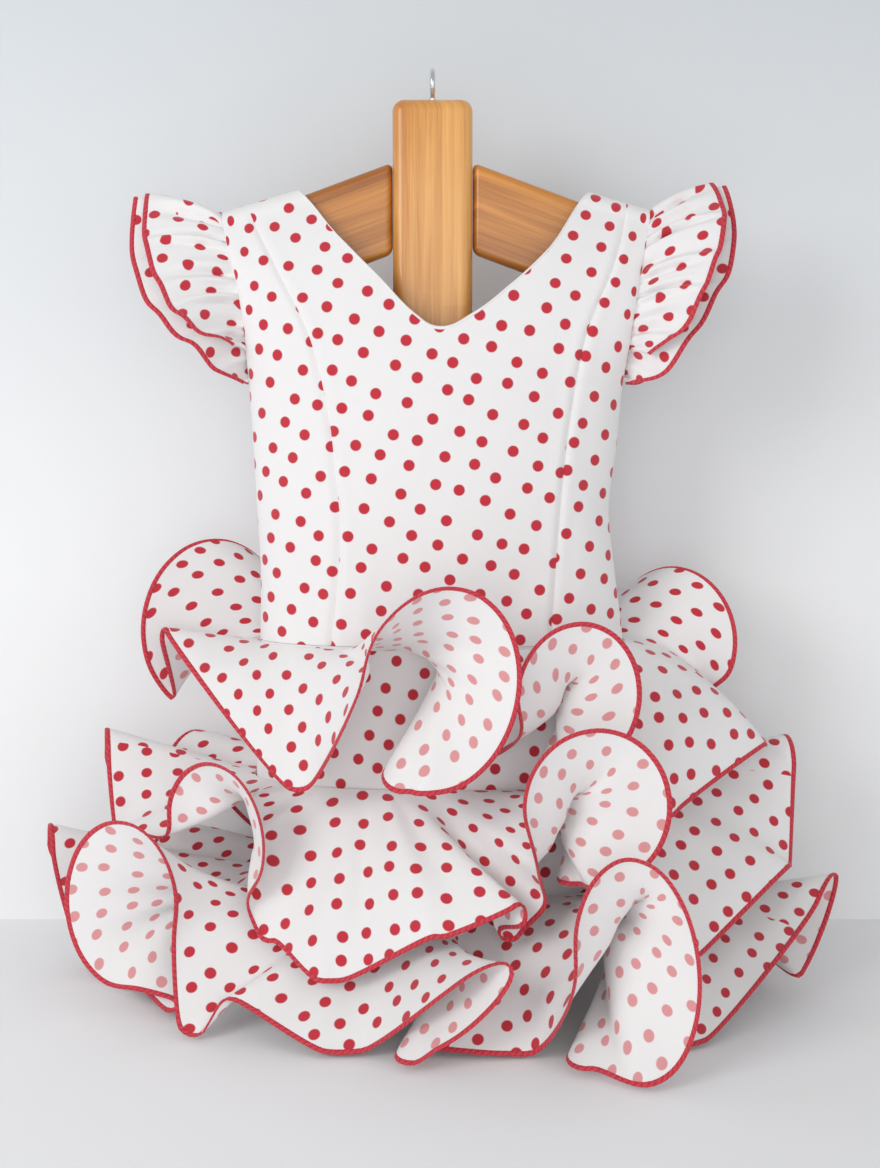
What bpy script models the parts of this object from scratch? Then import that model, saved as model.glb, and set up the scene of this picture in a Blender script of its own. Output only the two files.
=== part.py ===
"""Child's flamenco dress on a wooden hanger: the cut pieces as closed cloth walls.

Metres, +Z up, front towards -Y, origin where the hanger's hook bears on its rail.
Lengths in the tables below are millimetres measured up from the lowest hem.
"""
import math

import bmesh
import bpy
import numpy as np
from mathutils import Vector

# Driving sizes, in millimetres
HOOK_REST = 628.0
BODICE_CLOTH = 1.4
RUFFLE_CLOTH = 1.6
SLEEVE_CLOTH = 1.2
SEAM_GAP = 0.3
SEAM_EASE = 0.1
SIDE_ROUNDNESS = 2.2
CREASE_DEG = 40.0

# Bodice and skirt sections: height, reach to each side and to the front and back
SECTION_COLUMNS = ("z", "left", "right", "front", "back")
BODICE_SECTIONS = (
    (244, 126, 128, 45, 42),
    (290, 125, 122, 45, 42),
    (335, 127, 117, 45, 42),
    (380, 129, 122, 44, 41),
    (418, 131, 125, 43, 40),
    (455, 132, 129, 41, 38),
    (490, 137, 134, 36, 34),
    (512, 143, 138, 32, 30),
    (536, 148, 142, 28, 26),
)
SKIRT_SECTIONS = (
    (66, 134, 136, 57, 54),
    (147, 130, 132, 52, 49),
    (243.7, 126, 128, 45, 42),
)
SKIRT_HEIGHTS = (243.7, 195.0, 147.0, 105.0, 66.0)
SKIRT_HALF_TURN = 89.7
SKIRT_STEPS = 10

# Shoulder line, which runs over the hanger's arms
SHOULDER_NECK_Z = 551.0
SHOULDER_NECK_X = 97.0
SHOULDER_SLOPE = 0.29
SHOULDER_ROUND = 11.0
DRAPE_SLOPE = 0.48

# Armhole: half width of the slot between front and back edges
ARMHOLE_FOOT_Z = 418.0
ARMHOLE_TOP_Z = 536.0
ARMHOLE_HALF = 19.0

# V neck, the same at the front and at the back
NECK_COLUMNS = ("x", "z")
NECK_LINE = (
    (-97, 551), (-70, 521), (-40, 491), (-14, 465), (1, 458),
    (18, 465), (44, 484), (74, 512), (101, 549.8),
)

# Steps down each line of a bodice panel, from its top edge to the waist seam
PANEL_DROPS = (0.0, 0.4, 2.0, 6.0, 14.0, 32.0, 60.0, 96.0, 140.0, 195.0, 250.0)
PANEL_HEIGHT = 300.0

# Lines across the panels as shares of their width, closest round the neck's corners
CENTRE_SHARES = (0.0, 0.065, 0.13, 0.134, 0.145, 0.165, 0.20, 0.26, 0.33, 0.41, 0.47, 0.53,
                 0.59, 0.67, 0.75, 0.82, 0.86, 0.885, 0.90, 0.906, 0.955, 1.0)
BACK_SHARES = (0.0, 0.12, 0.24, 0.36, 0.48, 0.59, 0.66, 0.76, 0.84, 0.91, 0.96, 0.99, 1.0)
SIDE_STEPS = 6
BISECTIONS = 40

# Princess seams of the front: height and distance out from the middle
PRINCESS_COLUMNS = ("z", "left", "right")
PRINCESS_SEAMS = (
    (244, 74, 75),
    (275, 70, 77),
    (323, 67, 80),
    (360, 70, 83),
    (402, 75, 88),
    (455, 88, 98),
    (505, 113, 118),
    (542, 130, 126),
)

# Ruffle tiers: where each is sewn on, then a row for each fold of its free edge.
# A fold is an arc about a centre (x, front, z), half as wide and tall as given,
# facing a heading (0 is the front, 90 the dress's +X side), tilted and leaning.
# begin and sweep are the arc's angles: a minus sweep goes over the top (a flute),
# a plus sweep goes under (a dip). pull brings its end forward. A tilt of 90 lays
# the arc level. The cloth is spread evenly along the seam between a tier's anchors,
# the folds whose middles lie at the side seams and at the middle of the back.
FOLD_COLUMNS = ("fold", "x", "front", "z", "wide", "tall", "faces", "tilt", "lean",
                "begin", "sweep", "pull")
TIER_1_Z = 242.0
TIER_1_ANCHORS = {"left corner": -88.0, "front": -24.0, "front dip": 22.0, "right side": 84.0,
                  "back dip": 180.0}
TIER_1 = (
    ("back left", -66, -82, 214, 24, 40, -172, 0, 0, 195, -225, 0),
    ("back left dip", -108, -78, 178, 14, 10, -150, 0, 0, 215, 110, 0),
    ("left up", -164, -30, 247, 56, 64, -146, 0, 0, 195, -250, 0),
    ("left corner", -190, 26, 246, 7, 8, -60, 0, 0, 200, -170, 0),
    ("left dip", -94, 86, 167, 14, 12, -15, 0, 0, 225, 110, 0),
    ("front", 0, 125, 229, 51, 67, 8, 0, 12, 190, -280, 0),
    ("front neck", -25, 108, 169, 12, 16, 10, 110, 0, 75, 200, 0),
    ("front dip", 24, 62, 176, 14, 8, 10, 0, 0, 215, 110, 0),
    ("right front", 89, 102, 221, 42, 49, 12, 0, 0, 205, -300, 0),
    ("right neck", 74, 82, 170, 10, 10, 10, 90, 0, 75, 200, 0),
    ("right dip", 153, 74, 144, 12, 10, 40, 0, 0, 205, 120, 0),
    ("right side", 229, 14, 177, 10, 8, 78, 0, 0, 225, 70, 0),
    ("right fold", 198, -14, 205, 8, 8, 110, 0, 0, 250, 80, 0),
    ("right up", 172, -36, 238, 50, 52, 140, 0, 0, 205, -240, 0),
    ("back right dip", 112, -76, 180, 12, 10, 156, 0, 0, 215, 110, 0),
    ("back right", 76, -82, 214, 24, 40, 170, 0, 0, 195, -225, 0),
    ("back dip", 4, -90, 164, 16, 10, 180, 0, 0, 215, 110, 0),
)
TIER_2_Z = 147.0
TIER_2_ANCHORS = {"left top": -92.0, "right side": 80.0, "back dip": 180.0}
TIER_2 = (
    ("back left", -78, -84, 122, 26, 40, -172, 0, 0, 195, -225, 0),
    ("back left dip", -126, -80, 84, 14, 10, -150, 0, 0, 215, 110, 0),
    ("left back", -186, -58, 124, 28, 40, -135, 0, 0, 200, -225, 0),
    ("left back dip", -222, -22, 114, 10, 6, -95, 0, 0, 215, 110, 0),
    ("left top", -238, -2, 156, 12, 22, -75, 0, 0, 195, -200, 0),
    ("left low", -226, 24, 116, 10, 6, -60, 0, 0, 200, 140, 0),
    ("left front", -150, 80, 122, 44, 51, -34, 0, 0, 188, -238, 0),
    ("left turn", -112, 96, 62, 8, 6, -10, 0, 0, 190, 110, 0),
    ("front hem", -70, 124, 46, 20, 6, 0, 0, 0, 240, 60, 0),
    ("front rise", 0, 134, 78, 12, 5, 0, 0, 0, 250, 40, 0),
    ("front nose", 50, 132, 86, 6, 8, 30, 0, 0, 130, -190, 0),
    ("front slot", 46, 110, 68, 8, 6, 20, 0, 0, 150, 200, 0),
    ("front side", 64, 116, 90, 6, 8, 40, 0, 0, -50, 90, 0),
    ("right front", 98, 138, 158, 47, 51, 6, 0, -8, 200, -300, 0),
    ("right neck", 86, 108, 102, 10, 10, 10, 90, 0, 75, 200, 0),
    ("right dip", 169, 96, 56, 14, 10, 40, 0, 0, 190, 120, 0),
    ("right side", 244, 34, 98, 10, 10, 75, 0, 0, 230, 70, 0),
    ("right top", 251, -14, 150, 18, 20, 95, 0, 0, 200, -220, 0),
    ("right back dip", 222, -38, 102, 10, 8, 110, 0, 0, 215, 110, 0),
    ("right back", 176, -66, 124, 28, 40, 144, 0, 0, 200, -225, 0),
    ("back right dip", 126, -82, 84, 14, 10, 160, 0, 0, 215, 110, 0),
    ("back right", 78, -84, 122, 26, 40, 172, 0, 0, 195, -225, 0),
    ("back dip", 0, -90, 76, 18, 10, 180, 0, 0, 215, 110, 0),
)
TIER_3_Z = 72.0
TIER_3_ANCHORS = {"left top": -98.0, "left turn": -85.0, "left front": -60.0,
                  "right front": 48.0, "right hem": 80.0, "right nose": 96.0, "back dip": 180.0}
TIER_3 = (
    ("back left", -84, -84, 52, 26, 38, -172, 0, 0, 195, -225, 0),
    ("back left dip", -136, -80, 20, 14, 10, -150, 0, 0, 215, 110, 0),
    ("left back", -200, -60, 54, 30, 38, -135, 0, 0, 200, -225, 0),
    ("left back dip", -250, -28, 26, 12, 8, -100, 0, 0, 215, 110, 0),
    ("left top", -282, -8, 88, 12, 18, -70, 0, 0, 195, -200, 0),
    ("left under", -232, 28, 52, 54, 48, -40, 0, 0, 190, 105, 0),
    ("left turn", -182, 88, 10, 8, 5, -20, 0, 0, 270, 180, 0),
    ("left front", -212, 84, 76, 45, 60, -22, 0, 8, 290, -300, 10),
    ("left foot", -160, 122, 12, 10, 9, -15, 0, 0, 190, 120, 0),
    ("left mid", -136, 118, 20, 10, 6, -10, 0, 0, 120, -60, 0),
    ("front hem", -62, 148, 9, 22, 6, 0, 0, 0, 230, 90, 0),
    ("front flat", 12, 168, 40, 13, 42, 0, -8, 50, 180, -225, 0),
    ("front tip", -18, 158, 6, 10, 12, 0, 90, 0, 70, 190, 0),
    ("front under", 42, 150, 6, 26, 3, 0, 0, 0, 235, 80, 0),
    ("right front", 118, 182, 70, 39, 68, 5, -12, -4, 185, -278, 0),
    ("right neck", 90, 164, 6, 12, 14, 0, 90, 0, 70, 210, 0),
    ("right hem", 160, 136, 8, 18, 5, 25, 0, 0, 230, 90, 0),
    ("right nose", 262, 40, 48, 12, 42, 50, 0, 45, 175, -250, 0),
    ("right back dip", 226, -20, 22, 12, 8, 100, 0, 0, 215, 110, 0),
    ("right back", 196, -60, 52, 32, 40, 142, 0, 0, 200, -240, 0),
    ("back right dip", 135, -80, 20, 12, 10, 156, 0, 0, 215, 110, 0),
    ("back right", 82, -84, 52, 25, 38, 172, 0, 0, 195, -225, 0),
    ("back dip", 0, -90, 16, 18, 8, 180, 0, 0, 215, 110, 0),
)
ARC_STEP = 28.0
TIER_COLUMNS = 132
TIER_ROWS = 4
TIER_STANDOFF = 1.9
TIER_LIFTS = (0.16, 0.08, 0.04)
TIER_BULGE = 0.10
FLUTE_SWEEP = 185.0
FLUTE_PINCH = 0.9
# Throats of the flutes that close behind their mouths: the middle of each, the angle that
# it makes with the level, and the shares of the mouth's size left along and across it
THROAT_COLUMNS = ("tier", "fold", "x", "front", "z", "angle", "along", "across")
THROATS = (
    ("tier_1", "right front", 80, 84, 212, 60, 0.45, 0.10),
    ("tier_2", "right front", 82, 112, 144, 60, 0.45, 0.10),
    ("tier_2", "left front", -138, 60, 128, 30, 0.40, 0.40),
    ("tier_3", "right front", 112, 142, 82, 51, 0.46, 0.10),
)
EDGE_POINTS = 12
EDGE_SMOOTHING = 10
SEAM_SMOOTHING = 6
BACK_DEPTH = 30.0
BACK_WEIGHT = 1.0
FRONT_WEIGHT = 0.75
HEM_FLOOR = 1.0

# Sleeve ruffles: a row for each station round the armhole, front foot to shoulder.
# share is the way up the armhole seam, out and z the free edge, front its reach.
SLEEVE_COLUMNS = ("share", "out", "front", "z")
SLEEVE_TOP_LEFT = (
    (0.18, 138, 34, 446), (0.24, 147, 40, 450), (0.34, 162, 44, 457), (0.48, 177, 42, 470),
    (0.66, 190, 34, 493), (0.84, 199, 20, 520), (1.00, 200, 0, 549),
)
SLEEVE_UNDER_LEFT = (
    (0.03, 134, 16, 421), (0.14, 148, 30, 428), (0.30, 164, 35, 444), (0.48, 184, 33, 460),
    (0.66, 200, 26, 481), (0.84, 209, 13, 508), (1.00, 208, 0, 539),
)
SLEEVE_TOP_RIGHT = (
    (0.18, 140, 32, 440), (0.24, 152, 40, 448), (0.34, 166, 44, 464), (0.48, 176, 42, 486),
    (0.66, 186, 34, 510), (0.84, 191, 20, 536), (1.00, 185, 0, 556),
)
SLEEVE_UNDER_RIGHT = (
    (0.03, 130, 16, 421), (0.14, 147, 30, 425), (0.30, 166, 35, 448), (0.48, 182, 33, 474),
    (0.66, 195, 26, 499), (0.84, 199, 13, 527), (1.00, 194, 0, 550),
)
SLEEVE_WAVES = 9
SLEEVE_WAVE_HEIGHT = 3.0
SLEEVE_STEPS = 28
SLEEVE_STANDOFF = 2.0
SLEEVE_LAYER_GAP = 2.6
SLEEVE_ROWS = 3

# Hanger
POST_X = -5.0
POST_WIDTH = 54.0
POST_DEPTH = 26.0
POST_TOP_Z = 610.0
POST_FOOT_Z = 392.0
POST_ROUND = 8.0
ARM_HEIGHT = 57.0
ARM_DEPTH = 14.0
ARM_SLOPE_DEG = 20.0
ARM_TOP_AT_POST_Z = 569.5
ARM_REACH = 136.0
ARM_ROUND = 5.0
TIP_TAPER = 30.0
TIP_RISE = 14.0
TIP_DROP = 4.0
TIP_CHAMFER = 12.0
WIRE = 3.6
HOOK_RADIUS = 9.0
HOOK_BEGIN_DEG = 200.0
HOOK_SWEEP_DEG = 230.0
HOOK_STEPS = 12


def rows_of(table, columns):
    """Turn a table into dictionaries by column name."""
    return [dict(zip(columns, row)) for row in table]


def read(table, columns, key, value, column):
    """Read a column of a table between its rows, smoothly."""
    rows = rows_of(table, columns)
    keys = [row[key] for row in rows]
    vals = [row[column] for row in rows]
    value = min(max(value, keys[0]), keys[-1])
    i = max(k for k in range(len(keys) - 1) if keys[k] <= value)
    p0, p1, p2, p3 = (vals[min(max(k, 0), len(vals) - 1)] for k in range(i - 1, i + 3))
    t = (value - keys[i]) / (keys[i + 1] - keys[i])
    return 0.5 * (2 * p1 + (p2 - p0) * t + (2 * p0 - 5 * p1 + 4 * p2 - p3) * t ** 2
                  + (3 * p1 - p0 - 3 * p2 + p3) * t ** 3)


def material(name, colour, roughness):
    """Plain finish for one kind of piece."""
    mat = bpy.data.materials.new(name)
    mat.use_nodes = True
    bsdf = mat.node_tree.nodes["Principled BSDF"]
    bsdf.inputs["Base Color"].default_value = (*colour, 1.0)
    bsdf.inputs["Roughness"].default_value = roughness
    mat.diffuse_color = (*colour, 1.0)
    return mat


def place(mesh, name, mat):
    """Give a finished mesh its finish, shade it smooth and link it under its name."""
    mesh.materials.append(mat)
    mesh.shade_smooth()
    mesh.set_sharp_from_angle(angle=math.radians(CREASE_DEG))
    obj = bpy.data.objects.new(name, mesh)
    bpy.context.scene.collection.objects.link(obj)
    return obj


def frame_point(point):
    """Millimetres from the hem to metres from the hook's rest."""
    return Vector(((point[0] - POST_X) / 1000.0, point[1] / 1000.0, (point[2] - HOOK_REST) / 1000.0))


def grid_normals(grid, closed=False):
    """Normals of a grid of points; a closed grid ends on its own first line."""
    along = np.gradient(grid, axis=1)
    across = np.gradient(grid, axis=0)
    if closed:
        across[0] = across[-1] = (grid[1] - grid[-2]) / 2
    normal = np.cross(across, along)
    length = np.linalg.norm(normal, axis=2, keepdims=True)
    return normal / np.maximum(length, 1e-9)


def wall(name, grid, thick, mat, normal=None):
    """Closed cloth wall: a grid of points moved half its thickness each way."""
    if normal is None:
        normal = grid_normals(grid)
    sides = (grid + normal * thick / 2, grid - normal * thick / 2)
    rows, cols = grid.shape[:2]
    bm = bmesh.new()
    verts = [[[bm.verts.new(frame_point(side[r, c])) for c in range(cols)] for r in range(rows)]
             for side in sides]
    for r in range(rows - 1):
        for c in range(cols - 1):
            for side, turn in ((0, 1), (1, -1)):
                v = verts[side]
                bm.faces.new((v[r][c], v[r + 1][c], v[r + 1][c + 1], v[r][c + 1])[::turn])
    rim = [(0, c) for c in range(cols)] + [(r, cols - 1) for r in range(1, rows)]
    rim += [(rows - 1, c) for c in range(cols - 2, -1, -1)] + [(r, 0) for r in range(rows - 2, 0, -1)]
    for (r0, c0), (r1, c1) in zip(rim, rim[1:] + rim[:1]):
        bm.faces.new((verts[0][r0][c0], verts[0][r1][c1], verts[1][r1][c1], verts[1][r0][c0]))
    bmesh.ops.recalc_face_normals(bm, faces=bm.faces[:])
    bmesh.ops.triangulate(bm, faces=bm.faces[:], quad_method="SHORT_EDGE")
    mesh = bpy.data.meshes.new(name)
    bm.to_mesh(mesh)
    bm.free()
    return place(mesh, name, mat)


def shoulder_z(x):
    """Height of the shoulder line above a place across the dress."""
    return SHOULDER_NECK_Z - (abs(x) - SHOULDER_NECK_X) * SHOULDER_SLOPE


def soft_min(a, b, power=6.0):
    """The smaller of two depths, with a rounded change between them."""
    a, b = max(a, 1e-3), max(b, 1e-3)
    return (a ** -power + b ** -power) ** (-1.0 / power)


def bodice_depth(x, z, face):
    """How far the bodice stands from the middle plane at a place on its front or back."""
    side = "left" if x < 0 else "right"
    reach = read(BODICE_SECTIONS, SECTION_COLUMNS, "z", z, side)
    full = read(BODICE_SECTIONS, SECTION_COLUMNS, "z", z, face)
    rise = min(max((z - ARMHOLE_FOOT_Z) / (ARMHOLE_TOP_Z - ARMHOLE_FOOT_Z), 0.0), 1.0)
    slot = ARMHOLE_HALF * math.sin(math.pi * min(rise * 1.4, 0.5)) if rise > 0 else 0.0
    share = min(abs(x) / reach, 1.0)
    body = slot + (full - slot) * (1.0 - share ** SIDE_ROUNDNESS) ** (1.0 / SIDE_ROUNDNESS)
    drop = max(shoulder_z(x) - z, 0.0)
    fold = min(drop, SHOULDER_ROUND)
    drape = math.sqrt(max(SHOULDER_ROUND ** 2 - (SHOULDER_ROUND - fold) ** 2, 0.0))
    drape += max(drop - SHOULDER_ROUND, 0.0) * DRAPE_SLOPE
    return soft_min(body, drape)


def top_line(x):
    """Height of the top edge: the V neck, then the shoulder line."""
    neck = rows_of(NECK_LINE, NECK_COLUMNS)
    if neck[0]["x"] < x < neck[-1]["x"]:
        return read(NECK_LINE, NECK_COLUMNS, "x", x, "z")
    return shoulder_z(x)


def bodice_panel(name, face, left_line, right_line, shares, mat):
    """One bodice panel between two lines, from the waist seam to its top edge."""
    sign = -1.0 if face == "front" else 1.0
    foot = BODICE_SECTIONS[0][0] + SEAM_GAP
    grid = []
    for share in shares:
        low = foot
        high = SHOULDER_NECK_Z
        for _ in range(BISECTIONS):
            z = (low + high) / 2
            x = left_line(z) + (right_line(z) - left_line(z)) * share
            if z < top_line(x):
                low = z
            else:
                high = z
        column = []
        for drop in (*PANEL_DROPS, PANEL_HEIGHT):
            z = low - drop * (low - foot) / PANEL_HEIGHT
            x = left_line(z) + (right_line(z) - left_line(z)) * share
            y = sign * max(bodice_depth(x, z, face), SEAM_GAP)
            column.append((x, y, z))
        grid.append(column)
    return wall(name, np.array(grid), BODICE_CLOTH, mat)


def side_line(side, sign):
    """Side seam, then the armhole's edge, up one side of the bodice."""
    def line(z):
        return sign * read(BODICE_SECTIONS, SECTION_COLUMNS, "z", z, side)
    return line


def princess_line(side, sign, shift):
    """Princess seam of the front, moved half the seam's gap to one side."""
    def line(z):
        return sign * read(PRINCESS_SEAMS, PRINCESS_COLUMNS, "z", z, side) + shift
    return line


def build_bodice(mat):
    """Centre front, two side fronts and two backs."""
    half = SEAM_GAP / 2 + SEAM_EASE
    left_seam = princess_line("left", -1.0, half)
    right_seam = princess_line("right", 1.0, -half)
    bodice_panel("centre_front", "front", left_seam, right_seam, CENTRE_SHARES, mat)
    even = [math.sin(math.pi / 2 * i / SIDE_STEPS) for i in range(SIDE_STEPS + 1)]
    outer_left = princess_line("left", -1.0, -half)
    outer_right = princess_line("right", 1.0, half)
    bodice_panel("side_front_left", "front", side_line("left", -1.0), outer_left,
                 [1.0 - s for s in reversed(even)], mat)
    bodice_panel("side_front_right", "front", outer_right, side_line("right", 1.0), even, mat)
    bodice_panel("back_left", "back", side_line("left", -1.0), lambda z: -SEAM_GAP / 2,
                 [1.0 - s for s in reversed(BACK_SHARES)], mat)
    bodice_panel("back_right", "back", lambda z: SEAM_GAP / 2, side_line("right", 1.0),
                 BACK_SHARES, mat)


def skirt_point(heading, z, standoff=0.0):
    """A place on the skirt base, by heading from the front, and its way out."""
    a = math.radians(heading)
    side = "left" if math.sin(a) < 0 else "right"
    face = "front" if math.cos(a) > 0 else "back"
    wide = read(SKIRT_SECTIONS, SECTION_COLUMNS, "z", z, side)
    deep = read(SKIRT_SECTIONS, SECTION_COLUMNS, "z", z, face)
    power = 2.0 / SIDE_ROUNDNESS
    sx, cx = math.sin(a), math.cos(a)
    x = wide * math.copysign(abs(sx) ** power, sx)
    y = -deep * math.copysign(abs(cx) ** power, cx)
    out = np.array((x / wide ** 2, y / deep ** 2, 0.0))
    out /= np.linalg.norm(out)
    return np.array((x, y, z)) + out * standoff, out


def build_skirt_base(mat):
    """Straight base that the tiers are sewn to, a front and a back piece."""
    for name, middle in (("skirt_base_front", 0.0), ("skirt_base_back", 180.0)):
        grid = []
        for i in range(-SKIRT_STEPS, SKIRT_STEPS + 1):
            heading = middle + SKIRT_HALF_TURN * math.sin(math.pi / 2 * i / SKIRT_STEPS)
            grid.append([skirt_point(heading, z)[0] for z in SKIRT_HEIGHTS])
        wall(name, np.array(grid), BODICE_CLOTH, mat)


def fold_arc(row):
    """Points along one fold of a tier's free edge."""
    face, tilt, lean = (math.radians(row[key]) for key in ("faces", "tilt", "lean"))
    out = np.array((math.sin(face), -math.cos(face), 0.0))
    right = np.array((math.cos(face), math.sin(face), 0.0))
    up = np.array((0.0, 0.0, 1.0)) * math.cos(tilt) + out * math.sin(tilt)
    across = right * math.cos(lean) - up * math.sin(lean)
    along = right * math.sin(lean) + up * math.cos(lean)
    centre = np.array((row["x"], -row["front"], row["z"]), float)
    steps = max(2, int(abs(row["sweep"]) / ARC_STEP))
    points = []
    for i in range(steps + 1):
        share = i / steps
        a = math.radians(row["begin"] + row["sweep"] * share)
        points.append(centre + across * row["wide"] * math.cos(a)
                      + along * row["tall"] * math.sin(a) + out * row["pull"] * (share - 0.5))
    return points


def smooth_loop(points, fine):
    """Closed centripetal curve through points, with a place number for each."""
    pts = np.array(points)
    count = len(pts)
    curve, places = [], []
    for i in range(count):
        p0, p1, p2, p3 = (pts[(i + k) % count] for k in (-1, 0, 1, 2))
        t1 = math.sqrt(np.linalg.norm(p1 - p0))
        t2 = t1 + math.sqrt(np.linalg.norm(p2 - p1))
        t3 = t2 + math.sqrt(np.linalg.norm(p3 - p2))
        for k in range(fine):
            t = t1 + (t2 - t1) * k / fine
            a1 = (t1 - t) / t1 * p0 + t / t1 * p1
            a2 = (t2 - t) / (t2 - t1) * p1 + (t - t1) / (t2 - t1) * p2
            a3 = (t3 - t) / (t3 - t2) * p2 + (t - t2) / (t3 - t2) * p3
            b1 = (t2 - t) / t2 * a1 + t / t2 * a2
            b2 = (t3 - t) / (t3 - t1) * a2 + (t - t1) / (t3 - t1) * a3
            curve.append((t2 - t) / (t2 - t1) * b1 + (t - t1) / (t2 - t1) * b2)
            places.append(i + k / fine)
    return np.array(curve), np.array(places)


def throat_place(point, centre, throat):
    """Where the cloth behind a place of a flute's edge passes through the flute's throat."""
    angle = math.radians(throat["angle"])
    along = np.array((math.cos(angle), 0.0, math.sin(angle)))
    across = np.array((-math.sin(angle), 0.0, math.cos(angle)))
    middle = np.array((throat["x"], -throat["front"], throat["z"]), float)
    reach = point - centre
    middle = middle + along * (reach @ along) * throat["along"]
    return middle + across * (reach @ across) * throat["across"]


def tier_edge(name, folds, anchors):
    """A tier's free edge with, for each of its points, its quarter angle on the seam.

    Also the place that its cloth is drawn in towards behind the edge, and how firmly: a
    flute narrows towards its own middle or through its throat, and the rest runs straight
    to the seam.
    """
    closed = {row["fold"]: row for row in rows_of(THROATS, THROAT_COLUMNS) if row["tier"] == name}
    points, middles, seam, throats = [], [], [], []
    for row in folds:
        arc = fold_arc(row)
        flute = row["sweep"] < -FLUTE_SWEEP and row["front"] > 0
        centre = np.array((row["x"], -row["front"], row["z"]), float)
        for point in arc:
            if row["fold"] in closed:
                throats.append((*throat_place(point, centre, closed[row["fold"]]), 1.0))
            else:
                throats.append((*(point + (centre - point) * (FLUTE_PINCH if flute else 0.0)), 0.0))
        if row["fold"] in anchors:
            middles.append(len(points) + (len(arc) - 1) / 2)
            seam.append(anchors[row["fold"]])
        points += arc
    curve, places = smooth_loop(points, EDGE_POINTS)
    drawn = np.stack([np.interp(places, range(len(points) + 1), column)
                      for column in np.array(throats + throats[:1]).T], axis=1)
    for _ in range(EDGE_SMOOTHING):
        curve = curve * 0.5 + (np.roll(curve, 1, axis=0) + np.roll(curve, -1, axis=0)) * 0.25
        drawn = drawn * 0.5 + (np.roll(drawn, 1, axis=0) + np.roll(drawn, -1, axis=0)) * 0.25
    curve[:, 2] = np.maximum(curve[:, 2], HEM_FLOOR)
    drawn[:, 2] = np.maximum(drawn[:, 2], HEM_FLOOR)
    drawn[:, 3] = drawn[:, 3] ** 2 * (3.0 - 2.0 * drawn[:, 3])
    step = np.linalg.norm(np.roll(curve, -1, axis=0) - curve, axis=1)
    travel = np.concatenate(((0.0,), np.cumsum(step)))
    marks = np.interp(middles, np.append(places, len(points)), travel)
    marks = np.concatenate((marks, (marks[0] + travel[-1],)))
    spots = travel[:-1] + np.where(travel[:-1] < marks[0], travel[-1], 0.0)
    heading = np.interp(spots, marks, seam + [seam[0] + 360.0])
    heading[travel[:-1] < marks[0]] -= 360.0
    return curve, heading, drawn


def seam_heading(angle, z):
    """Heading of a seam place, given by quarters of the seam that are even in length."""
    headings = np.linspace(-180.0, 180.0, 361)
    ring = np.array([skirt_point(h, z)[0] for h in headings])
    length = np.concatenate(((0.0,), np.cumsum(np.linalg.norm(np.diff(ring, axis=0), axis=1))))
    wrapped = (angle + 180.0) % 360.0 - 180.0
    quarters = (-180.0, -90.0, 0.0, 90.0, 180.0)
    marks = np.interp(quarters, headings, length)
    return np.interp(np.interp(wrapped, quarters, marks), length, headings)


def flute_path(start, throat, edge, v):
    """A place on the way from the seam through a flute's throat to its edge."""
    slope = (edge - start) / 2
    if v < 0.5:
        here, there, leave, arrive, t = start, throat, throat - start, slope, 2 * v
    else:
        here, there, leave, arrive, t = throat, edge, slope, edge - throat, 2 * v - 1
    reach = here + (there - here) * t * t * (3 - 2 * t)
    return reach + leave * t * (1 - t) ** 2 - arrive * t * t * (1 - t)


def tier_grid(name, folds, anchors, seam_z, lift, columns, rows):
    """Grid of a whole tier, from its back-left round to the same place, seam to edge."""
    curve, heading, drawn = tier_edge(name, folds, anchors)
    closed = np.vstack((curve, curve[:1]))
    drawn = np.vstack((drawn, drawn[:1]))
    heading = np.append(heading, heading[0] + 360.0)
    length = np.concatenate(((0.0,), np.cumsum(np.linalg.norm(np.diff(closed, axis=0), axis=1))))
    weight = np.where(closed[:, 1] < BACK_DEPTH, BACK_WEIGHT, FRONT_WEIGHT)
    travel = np.concatenate(((0.0,), np.cumsum(np.diff(length) * (weight[1:] + weight[:-1]) / 2)))
    stations = np.linspace(0.0, travel[-1], columns + 1)
    turns = seam_heading(np.interp(stations, travel, heading), seam_z)
    grid = []
    for station, turn in zip(stations, turns):
        edge = np.array([np.interp(station, travel, closed[:, k]) for k in range(3)])
        throat = np.array([np.interp(station, travel, drawn[:, k]) for k in range(3)])
        hold = np.interp(station, travel, drawn[:, 3])
        start, out = skirt_point(turn, seam_z, TIER_STANDOFF)
        span = np.linalg.norm(edge - start)
        loose = throat * (1 - hold) + edge * hold
        middle = (start + loose) / 2 + np.array((0.0, 0.0, lift * span)) + out * TIER_BULGE * span
        column = []
        for r in range(rows + 1):
            v = r / rows
            free = (1 - v) ** 2 * start + 2 * v * (1 - v) * middle + v ** 2 * edge
            column.append(free * (1 - hold) + flute_path(start, throat, edge, v) * hold)
        grid.append(column)
    return np.array(grid), np.interp(stations, travel, heading)


def settle(grid, passes):
    """Even out a tier's cloth round its seam, most at the seam and none at its edge."""
    rows = grid.shape[1] - 1
    for r in range(1, rows):
        for _ in range(round(passes * (1.0 - r / rows) ** 2)):
            ring = grid[:-1, r]
            ring = ring * 0.5 + (np.roll(ring, 1, axis=0) + np.roll(ring, -1, axis=0)) * 0.25
            grid[:, r] = np.vstack((ring, ring[:1]))
    return grid


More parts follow.
